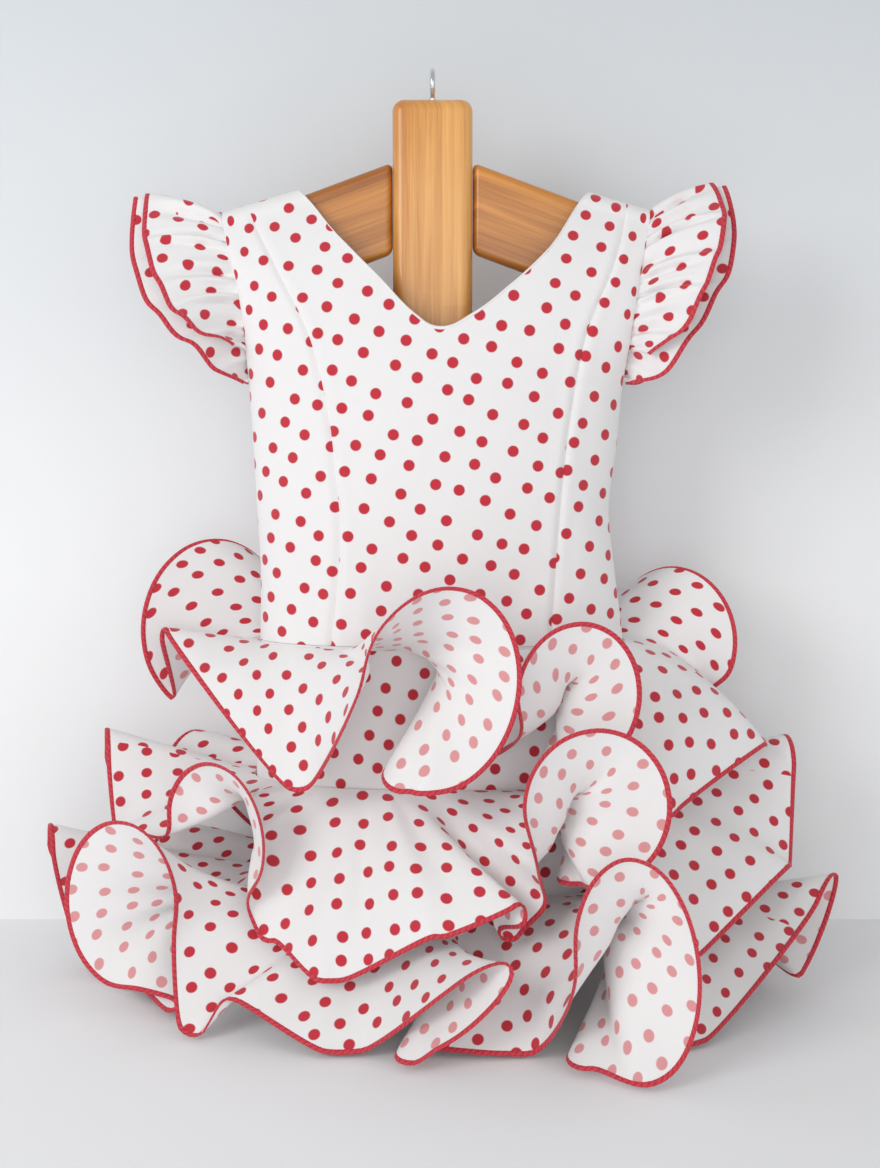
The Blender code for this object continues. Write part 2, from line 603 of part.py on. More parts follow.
def build_tiers(mat):
    """Each tier in two joined pieces, front and back."""
    tiers = (("tier_1", TIER_1, TIER_1_ANCHORS, TIER_1_Z), ("tier_2", TIER_2, TIER_2_ANCHORS, TIER_2_Z),
             ("tier_3", TIER_3, TIER_3_ANCHORS, TIER_3_Z))
    for (name, table, anchors, seam_z), lift in zip(tiers, TIER_LIFTS):
        folds = rows_of(table, FOLD_COLUMNS)
        grid, heading = tier_grid(name, folds, anchors, seam_z, lift, TIER_COLUMNS, TIER_ROWS)
        grid = settle(grid, SEAM_SMOOTHING)
        normal = grid_normals(grid, closed=True)
        first = int(np.argmin(abs(heading + 90.0)))
        last = int(np.argmin(abs(heading - 90.0)))
        for part_name, cut in (("_front", slice(first, last + 1)), ("_back", None)):
            if cut:
                piece, facing = grid[cut].copy(), normal[cut]
            else:
                piece = np.concatenate((grid[last:-1], grid[:first + 1]))
                facing = np.concatenate((normal[last:-1], normal[:first + 1]))
            for end, inner in ((0, 1), (-1, -2)):
                step = piece[inner] - piece[end]
                size = np.maximum(np.linalg.norm(step, axis=1, keepdims=True), 1e-6)
                piece[end] = piece[end] + step / size * (SEAM_GAP / 2)
            wall(name + part_name, piece, RUFFLE_CLOTH, mat, facing)


def armhole_point(side, sign, face, share):
    """A place on the armhole seam, from its foot to the shoulder."""
    z = ARMHOLE_FOOT_Z + 4.0 + (ARMHOLE_TOP_Z - ARMHOLE_FOOT_Z - 4.0) * share
    x = sign * read(BODICE_SECTIONS, SECTION_COLUMNS, "z", z, side)
    depth = max(bodice_depth(x, z, face), SEAM_GAP)
    return np.array((x, -depth if face == "front" else depth, z))


def sleeve_grid(table, side, sign, steps, rows, lower, waves, height):
    """One sleeve ruffle, from the front foot of the armhole over to the back."""
    grid = []
    for i in range(steps + 1):
        t = i / steps
        face = "front" if t <= 0.5 else "back"
        foot = table[0][0]
        share = foot + (1.0 - foot) * (1.0 - abs(1.0 - 2.0 * t))
        start = armhole_point(side, sign, face, share)
        out, reach, z = (read(table, SLEEVE_COLUMNS, "share", share, k) for k in ("out", "front", "z"))
        y = -reach if face == "front" else reach * 0.9
        wave = height * math.sin(2 * math.pi * waves * t) * min(1.0, 4 * share + 0.2)
        edge = np.array((sign * out, y, z + wave))
        turn = math.pi / 2 * share ** 2
        inward = math.copysign(math.cos(turn), -start[1])
        start = start + np.array((sign * SLEEVE_STANDOFF, 0.0, 0.0))
        start = start + lower * SLEEVE_LAYER_GAP * np.array((0.0, inward, -math.sin(turn)))
        span = np.linalg.norm(edge - start)
        middle = (start + edge) / 2 + np.array((sign * 0.08 * span, 0.0, (0.14 - 0.06 * lower) * span))
        column = []
        for r in range(rows + 1):
            v = r / rows
            column.append((1 - v) ** 2 * start + 2 * v * (1 - v) * middle + v ** 2 * edge)
        grid.append(column)
    return np.array(grid)


def build_sleeves(mat):
    """Two ruffles on each armhole, a top one and a slightly longer under one."""
    layers = (
        ("sleeve_left_top", SLEEVE_TOP_LEFT, "left", -1.0, 0),
        ("sleeve_left_under", SLEEVE_UNDER_LEFT, "left", -1.0, 1),
        ("sleeve_right_top", SLEEVE_TOP_RIGHT, "right", 1.0, 0),
        ("sleeve_right_under", SLEEVE_UNDER_RIGHT, "right", 1.0, 1),
    )
    for name, table, side, sign, lower in layers:
        grid = sleeve_grid(table, side, sign, SLEEVE_STEPS, SLEEVE_ROWS, lower,
                           SLEEVE_WAVES, SLEEVE_WAVE_HEIGHT)
        wall(name, grid, SLEEVE_CLOTH, mat)


def board(name, outline, depth, round_edge, mat):
    """A flat wooden board from an outline in the X-Z plane, with rounded edges."""
    bm = bmesh.new()
    face = bm.faces.new([bm.verts.new(frame_point((x, -depth / 2, z))) for x, z in outline])
    push = bmesh.ops.extrude_face_region(bm, geom=[face])
    moved = [item for item in push["geom"] if isinstance(item, bmesh.types.BMVert)]
    bmesh.ops.translate(bm, verts=moved, vec=(0.0, depth / 1000.0, 0.0))
    bmesh.ops.recalc_face_normals(bm, faces=bm.faces[:])
    edges = [e for e in bm.edges if e.calc_face_angle(0.0) > math.radians(40)]
    bmesh.ops.bevel(bm, geom=edges, offset=round_edge / 1000.0, segments=3, profile=0.5,
                    affect="EDGES", clamp_overlap=True)
    mesh = bpy.data.meshes.new(name)
    bm.to_mesh(mesh)
    bm.free()
    return place(mesh, name, mat)


def build_hanger(wood, steel):
    """Post, two sloping arms and a wire hook turned edge-on to the front."""
    left = POST_X - POST_WIDTH / 2
    right = POST_X + POST_WIDTH / 2
    corners = ((left, POST_FOOT_Z), (right, POST_FOOT_Z), (right, POST_TOP_Z), (left, POST_TOP_Z))
    board("hanger_post", corners, POST_DEPTH, POST_ROUND, wood)
    slope = math.tan(math.radians(ARM_SLOPE_DEG))
    drop = ARM_HEIGHT / math.cos(math.radians(ARM_SLOPE_DEG))
    for name, root, sign in (("hanger_arm_left", left, -1.0), ("hanger_arm_right", right, 1.0)):
        root += sign * SEAM_GAP
        tip = sign * ARM_REACH
        fall = abs(tip - root) * slope
        high = ARM_TOP_AT_POST_Z
        low = high - drop
        outline = (
            (root, low),
            (tip - sign * TIP_TAPER, low - fall + TIP_TAPER * slope),
            (tip, low - fall + TIP_RISE),
            (tip, high - fall - TIP_DROP),
            (tip - sign * TIP_CHAMFER, high - fall + TIP_CHAMFER * slope),
            (root, high),
        )
        board(name, outline[::int(-sign)], ARM_DEPTH, ARM_ROUND, wood)
    curve = bpy.data.curves.new("hook", "CURVE")
    curve.dimensions = "3D"
    curve.bevel_depth = WIRE / 2000.0
    curve.bevel_resolution = 2
    curve.use_fill_caps = True
    centre_z = HOOK_REST + WIRE / 2 - HOOK_RADIUS
    route = [(POST_X, 0.0, POST_TOP_Z + SEAM_GAP), (POST_X, 0.0, POST_TOP_Z + WIRE)]
    for i in range(HOOK_STEPS + 1):
        a = math.radians(HOOK_BEGIN_DEG - HOOK_SWEEP_DEG * i / HOOK_STEPS)
        route.append((POST_X, HOOK_RADIUS * math.cos(a), centre_z + HOOK_RADIUS * math.sin(a)))
    line = curve.splines.new("POLY")
    line.points.add(len(route) - 1)
    for point, spot in zip(line.points, route):
        point.co = (*frame_point(spot), 1.0)
    hook = bpy.data.objects.new("hook", curve)
    bpy.context.scene.collection.objects.link(hook)
    curve.materials.append(steel)
    return hook


def clear_scene():
    """Start from an empty scene."""
    for obj in list(bpy.data.objects):
        bpy.data.objects.remove(obj, do_unlink=True)


def main():
    """Build every piece of the dress and its hanger."""
    clear_scene()
    cloth = material("dotted white cloth", (0.86, 0.84, 0.85), 0.85)
    ruffle = material("ruffle cloth", (0.88, 0.80, 0.81), 0.85)
    wood = material("beech wood", (0.62, 0.38, 0.16), 0.45)
    steel = material("bright wire", (0.75, 0.76, 0.78), 0.25)
    build_bodice(cloth)
    build_skirt_base(cloth)
    build_tiers(ruffle)
    build_sleeves(ruffle)
    build_hanger(wood, steel)


main()
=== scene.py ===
"""Looks of a child's flamenco dress on a wooden hanger, laid out as a Blender add-on.

Metres, +Z up, front towards -Y, origin where the hanger's hook bears on its rail.
Lengths in the tables are millimetres measured up from the lowest hem.
"""

import math

import bmesh
import bpy
import numpy as np
from bpy.props import FloatProperty, FloatVectorProperty, PointerProperty
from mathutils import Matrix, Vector


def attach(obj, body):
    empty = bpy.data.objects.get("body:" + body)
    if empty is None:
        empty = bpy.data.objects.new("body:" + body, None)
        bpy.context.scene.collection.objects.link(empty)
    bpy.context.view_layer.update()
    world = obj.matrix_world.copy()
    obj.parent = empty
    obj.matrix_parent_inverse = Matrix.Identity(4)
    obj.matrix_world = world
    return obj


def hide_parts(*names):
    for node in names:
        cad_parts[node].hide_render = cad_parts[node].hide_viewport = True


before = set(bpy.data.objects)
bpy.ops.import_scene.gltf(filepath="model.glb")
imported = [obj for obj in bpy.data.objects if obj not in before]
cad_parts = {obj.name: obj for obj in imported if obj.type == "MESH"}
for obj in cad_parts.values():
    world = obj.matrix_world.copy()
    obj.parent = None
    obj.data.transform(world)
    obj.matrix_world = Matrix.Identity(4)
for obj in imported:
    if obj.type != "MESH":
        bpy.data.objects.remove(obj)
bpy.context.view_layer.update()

bl_info = {
    "name": "Flamenco dress on a hanger",
    "version": (1, 0, 0),
    "blender": (4, 5, 0),
    "location": "View3D > Sidebar > Dress",
    "description": "Sews the dotted dress with its ruffles and hangs it on a wooden hanger",
    "category": "Object",
}

# Driving sizes, in millimetres
HOOK_REST = 628.0
SEAM_GAP = 0.3
SIDE_ROUNDNESS = 2.2
CREASE_DEG = 40.0

# Bodice and skirt sections: height, reach to each side and to the front and back
SECTION_COLUMNS = ("z", "left", "right", "front", "back")
BODICE_SECTIONS = (
    (244, 126, 128, 45, 42),
    (290, 125, 122, 45, 42),
    (335, 127, 117, 45, 42),
    (380, 129, 122, 44, 41),
    (418, 131, 125, 43, 40),
    (455, 132, 129, 41, 38),
    (490, 137, 134, 36, 34),
    (512, 143, 138, 32, 30),
    (536, 148, 142, 28, 26),
)
SKIRT_SECTIONS = (
    (66, 134, 136, 57, 54),
    (147, 130, 132, 52, 49),
    (243.7, 126, 128, 45, 42),
)
SKIRT_HEIGHTS = (243.7, 195.0, 147.0, 105.0, 66.0)

# Shoulder line, which runs over the hanger's arms
SHOULDER_NECK_Z = 551.0
SHOULDER_NECK_X = 97.0
SHOULDER_SLOPE = 0.29
SHOULDER_ROUND = 11.0
DRAPE_SLOPE = 0.48

# Armhole: half width of the slot between front and back edges
ARMHOLE_FOOT_Z = 418.0
ARMHOLE_TOP_Z = 536.0
ARMHOLE_HALF = 19.0

# V neck, the same at the front and at the back
NECK_COLUMNS = ("x", "z")
NECK_LINE = (
    (-97, 551), (-70, 521), (-40, 491), (-14, 465), (1, 458),
    (18, 465), (44, 484), (74, 512), (101, 549.8),
)

# Steps down each line of a bodice panel, from its top edge to the waist seam
PANEL_DROPS = (0.0, 0.4, 2.0, 6.0, 14.0, 32.0, 60.0, 96.0, 140.0, 195.0, 250.0)
PANEL_HEIGHT = 300.0

# Lines across the panels as shares of their width, closest round the neck's corners
CENTRE_SHARES = (0.0, 0.065, 0.13, 0.134, 0.145, 0.165, 0.20, 0.26, 0.33, 0.41, 0.47, 0.53,
                 0.59, 0.67, 0.75, 0.82, 0.86, 0.885, 0.90, 0.906, 0.955, 1.0)
BACK_SHARES = (0.0, 0.12, 0.24, 0.36, 0.48, 0.59, 0.66, 0.76, 0.84, 0.91, 0.96, 0.99, 1.0)
SIDE_STEPS = 6
BISECTIONS = 40

# Princess seams of the front: height and distance out from the middle
PRINCESS_COLUMNS = ("z", "left", "right")
PRINCESS_SEAMS = (
    (244, 74, 75),
    (275, 70, 77),
    (323, 67, 80),
    (360, 70, 83),
    (402, 75, 88),
    (455, 88, 98),
    (505, 113, 118),
    (542, 130, 126),
)

# Ruffle tiers: where each is sewn on, then a row for each fold of its free edge.
# A fold is an arc about a centre (x, front, z), half as wide and tall as given,
# facing a heading (0 is the front, 90 the dress's +X side), tilted and leaning.
# begin and sweep are the arc's angles: a minus sweep goes over the top (a flute),
# a plus sweep goes under (a dip). pull brings its end forward. A tilt of 90 lays
# the arc level. The cloth is spread evenly along the seam between a tier's anchors,
# the folds whose middles lie at the side seams and at the middle of the back.
FOLD_COLUMNS = ("fold", "x", "front", "z", "wide", "tall", "faces", "tilt", "lean",
                "begin", "sweep", "pull")
TIER_1_Z = 242.0
TIER_1_ANCHORS = {"left corner": -88.0, "front": -24.0, "front dip": 22.0, "right side": 84.0,
                  "back dip": 180.0}
TIER_1 = (
    ("back left", -66, -82, 214, 24, 40, -172, 0, 0, 195, -225, 0),
    ("back left dip", -108, -78, 178, 14, 10, -150, 0, 0, 215, 110, 0),
    ("left up", -164, -30, 247, 56, 64, -146, 0, 0, 195, -250, 0),
    ("left corner", -190, 26, 246, 7, 8, -60, 0, 0, 200, -170, 0),
    ("left dip", -94, 86, 167, 14, 12, -15, 0, 0, 225, 110, 0),
    ("front", 0, 125, 229, 51, 67, 8, 0, 12, 190, -280, 0),
    ("front neck", -25, 108, 169, 12, 16, 10, 110, 0, 75, 200, 0),
    ("front dip", 24, 62, 176, 14, 8, 10, 0, 0, 215, 110, 0),
    ("right front", 89, 102, 221, 42, 49, 12, 0, 0, 205, -300, 0),
    ("right neck", 74, 82, 170, 10, 10, 10, 90, 0, 75, 200, 0),
    ("right dip", 153, 74, 144, 12, 10, 40, 0, 0, 205, 120, 0),
    ("right side", 229, 14, 177, 10, 8, 78, 0, 0, 225, 70, 0),
    ("right fold", 198, -14, 205, 8, 8, 110, 0, 0, 250, 80, 0),
    ("right up", 172, -36, 238, 50, 52, 140, 0, 0, 205, -240, 0),
    ("back right dip", 112, -76, 180, 12, 10, 156, 0, 0, 215, 110, 0),
    ("back right", 76, -82, 214, 24, 40, 170, 0, 0, 195, -225, 0),
    ("back dip", 4, -90, 164, 16, 10, 180, 0, 0, 215, 110, 0),
)
TIER_2_Z = 147.0
TIER_2_ANCHORS = {"left top": -92.0, "right side": 80.0, "back dip": 180.0}
TIER_2 = (
    ("back left", -78, -84, 122, 26, 40, -172, 0, 0, 195, -225, 0),
    ("back left dip", -126, -80, 84, 14, 10, -150, 0, 0, 215, 110, 0),
    ("left back", -186, -58, 124, 28, 40, -135, 0, 0, 200, -225, 0),
    ("left back dip", -222, -22, 114, 10, 6, -95, 0, 0, 215, 110, 0),
    ("left top", -238, -2, 156, 12, 22, -75, 0, 0, 195, -200, 0),
    ("left low", -226, 24, 116, 10, 6, -60, 0, 0, 200, 140, 0),
    ("left front", -150, 80, 122, 44, 51, -34, 0, 0, 188, -238, 0),
    ("left turn", -112, 96, 62, 8, 6, -10, 0, 0, 190, 110, 0),
    ("front hem", -70, 124, 46, 20, 6, 0, 0, 0, 240, 60, 0),
    ("front rise", 0, 134, 78, 12, 5, 0, 0, 0, 250, 40, 0),
    ("front nose", 50, 132, 86, 6, 8, 30, 0, 0, 130, -190, 0),
    ("front slot", 46, 110, 68, 8, 6, 20, 0, 0, 150, 200, 0),
    ("front side", 64, 116, 90, 6, 8, 40, 0, 0, -50, 90, 0),
    ("right front", 98, 138, 158, 47, 51, 6, 0, -8, 200, -300, 0),
    ("right neck", 86, 108, 102, 10, 10, 10, 90, 0, 75, 200, 0),
    ("right dip", 169, 96, 56, 14, 10, 40, 0, 0, 190, 120, 0),
    ("right side", 244, 34, 98, 10, 10, 75, 0, 0, 230, 70, 0),
    ("right top", 251, -14, 150, 18, 20, 95, 0, 0, 200, -220, 0),
    ("right back dip", 222, -38, 102, 10, 8, 110, 0, 0, 215, 110, 0),
    ("right back", 176, -66, 124, 28, 40, 144, 0, 0, 200, -225, 0),
    ("back right dip", 126, -82, 84, 14, 10, 160, 0, 0, 215, 110, 0),
    ("back right", 78, -84, 122, 26, 40, 172, 0, 0, 195, -225, 0),
    ("back dip", 0, -90, 76, 18, 10, 180, 0, 0, 215, 110, 0),
)
TIER_3_Z = 72.0
TIER_3_ANCHORS = {"left top": -98.0, "left turn": -85.0, "left front": -60.0,
                  "right front": 48.0, "right hem": 80.0, "right nose": 96.0, "back dip": 180.0}
TIER_3 = (
    ("back left", -84, -84, 52, 26, 38, -172, 0, 0, 195, -225, 0),
    ("back left dip", -136, -80, 20, 14, 10, -150, 0, 0, 215, 110, 0),
    ("left back", -200, -60, 54, 30, 38, -135, 0, 0, 200, -225, 0),
    ("left back dip", -250, -28, 26, 12, 8, -100, 0, 0, 215, 110, 0),
    ("left top", -282, -8, 88, 12, 18, -70, 0, 0, 195, -200, 0),
    ("left under", -232, 28, 52, 54, 48, -40, 0, 0, 190, 105, 0),
    ("left turn", -182, 88, 10, 8, 5, -20, 0, 0, 270, 180, 0),
    ("left front", -212, 84, 76, 45, 60, -22, 0, 8, 290, -300, 10),
    ("left foot", -160, 122, 12, 10, 9, -15, 0, 0, 190, 120, 0),
    ("left mid", -136, 118, 20, 10, 6, -10, 0, 0, 120, -60, 0),
    ("front hem", -62, 148, 9, 22, 6, 0, 0, 0, 230, 90, 0),
    ("front flat", 12, 168, 40, 13, 42, 0, -8, 50, 180, -225, 0),
    ("front tip", -18, 158, 6, 10, 12, 0, 90, 0, 70, 190, 0),
    ("front under", 42, 150, 6, 26, 3, 0, 0, 0, 235, 80, 0),
    ("right front", 118, 182, 70, 39, 68, 5, -12, -4, 185, -278, 0),
    ("right neck", 90, 164, 6, 12, 14, 0, 90, 0, 70, 210, 0),
    ("right hem", 160, 136, 8, 18, 5, 25, 0, 0, 230, 90, 0),
    ("right nose", 262, 40, 48, 12, 42, 50, 0, 45, 175, -250, 0),
    ("right back dip", 226, -20, 22, 12, 8, 100, 0, 0, 215, 110, 0),
    ("right back", 196, -60, 52, 32, 40, 142, 0, 0, 200, -240, 0),
    ("back right dip", 135, -80, 20, 12, 10, 156, 0, 0, 215, 110, 0),
    ("back right", 82, -84, 52, 25, 38, 172, 0, 0, 195, -225, 0),
    ("back dip", 0, -90, 16, 18, 8, 180, 0, 0, 215, 110, 0),
)
ARC_STEP = 28.0
TIER_COLUMNS = 132
TIER_STANDOFF = 1.9
TIER_LIFTS = (0.16, 0.08, 0.04)
TIER_BULGE = 0.10
FLUTE_SWEEP = 185.0
FLUTE_PINCH = 0.9
# Throats of the flutes that close behind their mouths: the middle of each, the angle that
# it makes with the level, and the shares of the mouth's size left along and across it
THROAT_COLUMNS = ("tier", "fold", "x", "front", "z", "angle", "along", "across")
THROATS = (
    ("tier_1", "right front", 80, 84, 212, 60, 0.45, 0.10),
    ("tier_2", "right front", 82, 112, 144, 60, 0.45, 0.10),
    ("tier_2", "left front", -138, 60, 128, 30, 0.40, 0.40),
    ("tier_3", "right front", 112, 142, 82, 51, 0.46, 0.10),
)
EDGE_POINTS = 12
EDGE_SMOOTHING = 10
SEAM_SMOOTHING = 6
HEM_FLOOR = 1.0

# Sleeve ruffles: a row for each station round the armhole, front foot to shoulder.
# share is the way up the armhole seam, out and z the free edge, front its reach.
SLEEVE_COLUMNS = ("share", "out", "front", "z")
SLEEVE_TOP_LEFT = (
    (0.18, 138, 34, 446), (0.24, 147, 40, 450), (0.34, 162, 44, 457), (0.48, 177, 42, 470),
    (0.66, 190, 34, 493), (0.84, 199, 20, 520), (1.00, 200, 0, 549),
)
SLEEVE_UNDER_LEFT = (
    (0.03, 134, 16, 421), (0.14, 148, 30, 428), (0.30, 164, 35, 444), (0.48, 184, 33, 460),
    (0.66, 200, 26, 481), (0.84, 209, 13, 508), (1.00, 208, 0, 539),
)
SLEEVE_TOP_RIGHT = (
    (0.18, 140, 32, 440), (0.24, 152, 40, 448), (0.34, 166, 44, 464), (0.48, 176, 42, 486),
    (0.66, 186, 34, 510), (0.84, 191, 20, 536), (1.00, 185, 0, 556),
)
SLEEVE_UNDER_RIGHT = (
    (0.03, 130, 16, 421), (0.14, 147, 30, 425), (0.30, 166, 35, 448), (0.48, 182, 33, 474),
    (0.66, 195, 26, 499), (0.84, 199, 13, 527), (1.00, 194, 0, 550),
)
SLEEVE_WAVES = 9
SLEEVE_LAYER_GAP = 2.6
SLEEVE_FOOT_RISE = 4.0

# Hanger
POST_X = -5.0
POST_WIDTH = 54.0
POST_DEPTH = 26.0
POST_TOP_Z = 610.0
POST_FOOT_Z = 392.0
POST_ROUND = 8.0
ARM_HEIGHT = 57.0
ARM_DEPTH = 14.0
ARM_SLOPE_DEG = 20.0
ARM_TOP_AT_POST_Z = 569.5
ARM_REACH = 136.0
ARM_ROUND = 5.0
TIP_TAPER = 30.0
TIP_RISE = 14.0
TIP_DROP = 4.0
TIP_CHAMFER = 12.0
WIRE = 3.6
HOOK_RADIUS = 9.0
HOOK_BEGIN_DEG = 200.0
HOOK_SWEEP_DEG = 230.0
HOOK_STEPS = 12

# Finer grids for the cloth that shows
FINE_PANEL = 4
FINE_TIER = 5
FINE_TIER_ROWS = 18
FINE_SLEEVE_STEPS = 252
FINE_SLEEVE_ROWS = 14
FINE_SKIRT_STEPS = 60
FINE_SKIRT_ROWS = 40

# Soft creases of the bodice: a place, a slant from upright, its size, and how far it stands out
CREASE_COLUMNS = ("face", "x", "z", "slant", "length", "width", "depth")
BODICE_CREASES = (
    ("front", -112, 372, 24, 90, 9, -1.6),
    ("front", -100, 330, 12, 120, 12, 1.4),
    ("front", -88, 276, -8, 80, 10, -1.5),
    ("front", -54, 268, -14, 70, 9, 1.3),
    ("front", -34, 292, 10, 90, 14, -1.2),
    ("front", 20, 300, -6, 110, 16, 1.2),
    ("front", 52, 272, 14, 70, 10, -1.4),
    ("front", 96, 290, 8, 90, 9, 1.5),
    ("front", 110, 352, -20, 100, 10, -1.6),
    ("front", 104, 420, -28, 60, 8, 1.2),
    ("front", -106, 432, 30, 60, 8, 1.2),
    ("back", -96, 366, 20, 90, 10, -1.5),
    ("back", -52, 290, -10, 100, 12, 1.4),
    ("back", -20, 262, 8, 60, 10, -1.3),
    ("back", 24, 270, -12, 70, 10, 1.3),
    ("back", 58, 300, 8, 110, 12, -1.4),
    ("back", 98, 352, -22, 90, 10, 1.5),
)

# Soft ripples of the tiers: how many along the edge, how far they stand, and where they start
RIPPLE_COLUMNS = ("tier", "count", "depth", "phase")
TIER_RIPPLES = (
    ("tier_1", 23, 1.1, 0.4),
    ("tier_1", 37, 0.7, 2.1),
    ("tier_2", 21, 1.2, 1.3),
    ("tier_2", 41, 0.6, 0.2),
    ("tier_3", 27, 1.2, 2.6),
    ("tier_3", 47, 0.6, 1.0),
)
# Soft creases that run from a tier's seam towards its edge, by heading
TIER_CREASE_COLUMNS = ("tier", "heading", "width", "depth", "lean")
TIER_CREASES = (
    ("tier_1", -64, 2.6, -2.0, 1.2),
    ("tier_1", -46, 1.8, -4.6, 1.5),
    ("tier_1", -40, 1.6, 6.0, 1.7),
    ("tier_1", -20, 2.2, 1.8, 0.8),
    ("tier_1", -8, 2.0, -1.8, 0.7),
    ("tier_1", 30, 2.2, 1.8, 0.8),
    ("tier_1", 52, 2.4, -2.0, 0.9),
    ("tier_1", 78, 2.6, 2.0, 1.2),
    ("tier_1", 118, 2.4, -2.0, 0.9),
    ("tier_1", -118, 2.4, 2.0, 0.8),
    ("tier_2", -48, 2.2, 2.0, 0.9),
    ("tier_2", -30, 2.0, -3.4, 1.3),
    ("tier_2", -22, 2.0, 3.6, 1.1),
    ("tier_2", 26, 2.2, -2.0, 0.8),
    ("tier_2", 40, 2.2, 2.2, 0.7),
    ("tier_2", 70, 2.6, -2.4, 1.2),
    ("tier_2", 132, 2.4, 2.0, 0.9),
    ("tier_2", -130, 2.4, -2.0, 0.9),
    ("tier_3", -70, 2.2, -2.0, 0.9),
    ("tier_3", -52, 2.2, 2.2, 0.8),
    ("tier_3", -26, 2.0, -3.4, 1.2),
    ("tier_3", 6, 2.2, 2.0, 1.0),
    ("tier_3", 40, 2.2, -2.0, 0.8),
    ("tier_3", 56, 2.2, 2.2, 0.7),
    ("tier_3", 88, 2.4, -2.2, 1.0),
    ("tier_3", -140, 2.4, 2.0, 0.9),
    ("tier_3", 140, 2.4, -2.0, 0.9),
)
# The print: the rows' turn, how unevenly the dots lie and how crisp they are; the edging's stitches, whose
# bands carry painted shade between them
DOT_TURN = 0.42
DOT_UNEVENNESS = 0.30
DOT_SHARPNESS = 26.0
STITCH_SCALE = 150.0
# Shift of the dots from the front of the skirt base to its back, a degree
BASE_SHIFT = 3.7
SLEEVE_GATHERS = 17
# How far the under sleeve layers' tips rise at the shoulder, level with the top layers
UNDER_TIP_RISE = {"left": 8.0, "right": 4.5}
SLEEVE_GATHER_DEPTH = 2.8
SLEEVE_WAVE_SHOWN = 1.6
CUT_INNER_RADIUS = 35.0
CUT_WIDTH = 128.0
CUT_DEPTH = 43.0
DRAPE_DROP = 78.0
# How far from a panel's edges its creases and seams come to their full depth
CREASE_FADE = 20.0
SHARP_DEG = 50.0
ROLLED_PANELS = ("centre_front", "back_left", "back_right")

# Overlocked edging, the neck's rolled edge and the sewn seams, in millimetres
EDGING_HALF_WIDTH = 1.95
EDGING_HALF_DEPTH = 1.05
EDGING_STEP = 0.95
EDGING_SIDES = 8
EDGING_LOW = 0.84
NECK_HALF_WIDTH = 1.3
NECK_HALF_DEPTH = 0.8
NECK_STEP = 2.0
SEAM_GROOVE = 1.9
SEAM_GROOVE_WIDTH = 1.7
SEAM_RIDGE = 0.7
SEAM_RIDGE_PLACE = 4.5

# Stage, in metres: the wall's painted shade, which darkens it upwards, its skirting, the soft lights and the
# camera
PAINTED_SHADE_START = -0.36
PAINTED_SHADE_FADE = 0.46
SKIRTING_HEIGHT = 0.056
SKIRTING_DEPTH = 0.003
STAGE_REACH = 6.0
WALL_TOP = 4.0
LIGHTS = (
    ("key", 0.8, (-1.15, -1.25, 0.3)),
    ("fill", 1.4, (1.2, -1.5, -0.1)),
    ("front", 0.9, (0.0, -1.7, -0.15)),
)
SENSOR_WIDTH = 36.0
CAMERA_LENS = 46.23
CAMERA_PLACE = (0.005, -1.045, -0.218)
CAMERA_TILT_DEG = 83.0

# Flat cut of each piece that shows, in metres and square metres
CUT_COLUMNS = ("piece", "width", "length", "area", "held", "rests_on")
CUTS = (
    ("centre_front", 0.26, 0.31, 0.0455, "hung", "hanger_post"),
    ("side_front_left", 0.085, 0.31, 0.0182, "hung", "hanger_arm_left"),
    ("side_front_right", 0.072, 0.31, 0.0141, "hung", "hanger_arm_right"),
    ("back_left", 0.165, 0.31, 0.0395, "hung", "hanger_arm_left"),
    ("back_right", 0.16, 0.31, 0.0371, "hung", "hanger_arm_right"),
    ("skirt_base_front", 0.31, 0.18, 0.0545, "hung", "centre_front"),
    ("skirt_base_back", 0.31, 0.18, 0.0539, "hung", "back_left"),
    ("tier_1_front", 0.11, 1.26, 0.0604, "gathered", "skirt_base_front"),
    ("tier_1_back", 0.10, 1.18, 0.0437, "gathered", "skirt_base_back"),
    ("tier_2_front", 0.12, 1.28, 0.0703, "gathered", "skirt_base_front"),
    ("tier_2_back", 0.10, 1.17, 0.0507, "gathered", "skirt_base_back"),
    ("tier_3_front", 0.13, 1.53, 0.0911, "gathered", "skirt_base_front"),
    ("tier_3_back", 0.11, 1.43, 0.0681, "gathered", "skirt_base_back"),
    ("sleeve_left_top", 0.06, 0.29, 0.0121, "gathered", "side_front_left"),
    ("sleeve_left_under", 0.06, 0.33, 0.0140, "gathered", "side_front_left"),
    ("sleeve_right_top", 0.06, 0.30, 0.0122, "gathered", "side_front_right"),
    ("sleeve_right_under", 0.06, 0.34, 0.0137, "gathered", "side_front_right"),
)


def rows_of(table, columns):
    """Turn a table into dictionaries by column name."""
    return [dict(zip(columns, row)) for row in table]


def read(table, columns, key, value, column):
    """Read a column of a table between its rows, smoothly."""
    rows = rows_of(table, columns)
    keys = [row[key] for row in rows]
    vals = [row[column] for row in rows]
    value = min(max(value, keys[0]), keys[-1])
    i = max(k for k in range(len(keys) - 1) if keys[k] <= value)
    p0, p1, p2, p3 = (vals[min(max(k, 0), len(vals) - 1)] for k in range(i - 1, i + 3))
    t = (value - keys[i]) / (keys[i + 1] - keys[i])
    return 0.5 * (2 * p1 + (p2 - p0) * t + (2 * p0 - 5 * p1 + 4 * p2 - p3) * t ** 2
                  + (3 * p1 - p0 - 3 * p2 + p3) * t ** 3)


def frame_point(point):
    """Millimetres from the hem to metres from the hook's rest."""
    return Vector(((point[0] - POST_X) / 1000.0, point[1] / 1000.0, (point[2] - HOOK_REST) / 1000.0))


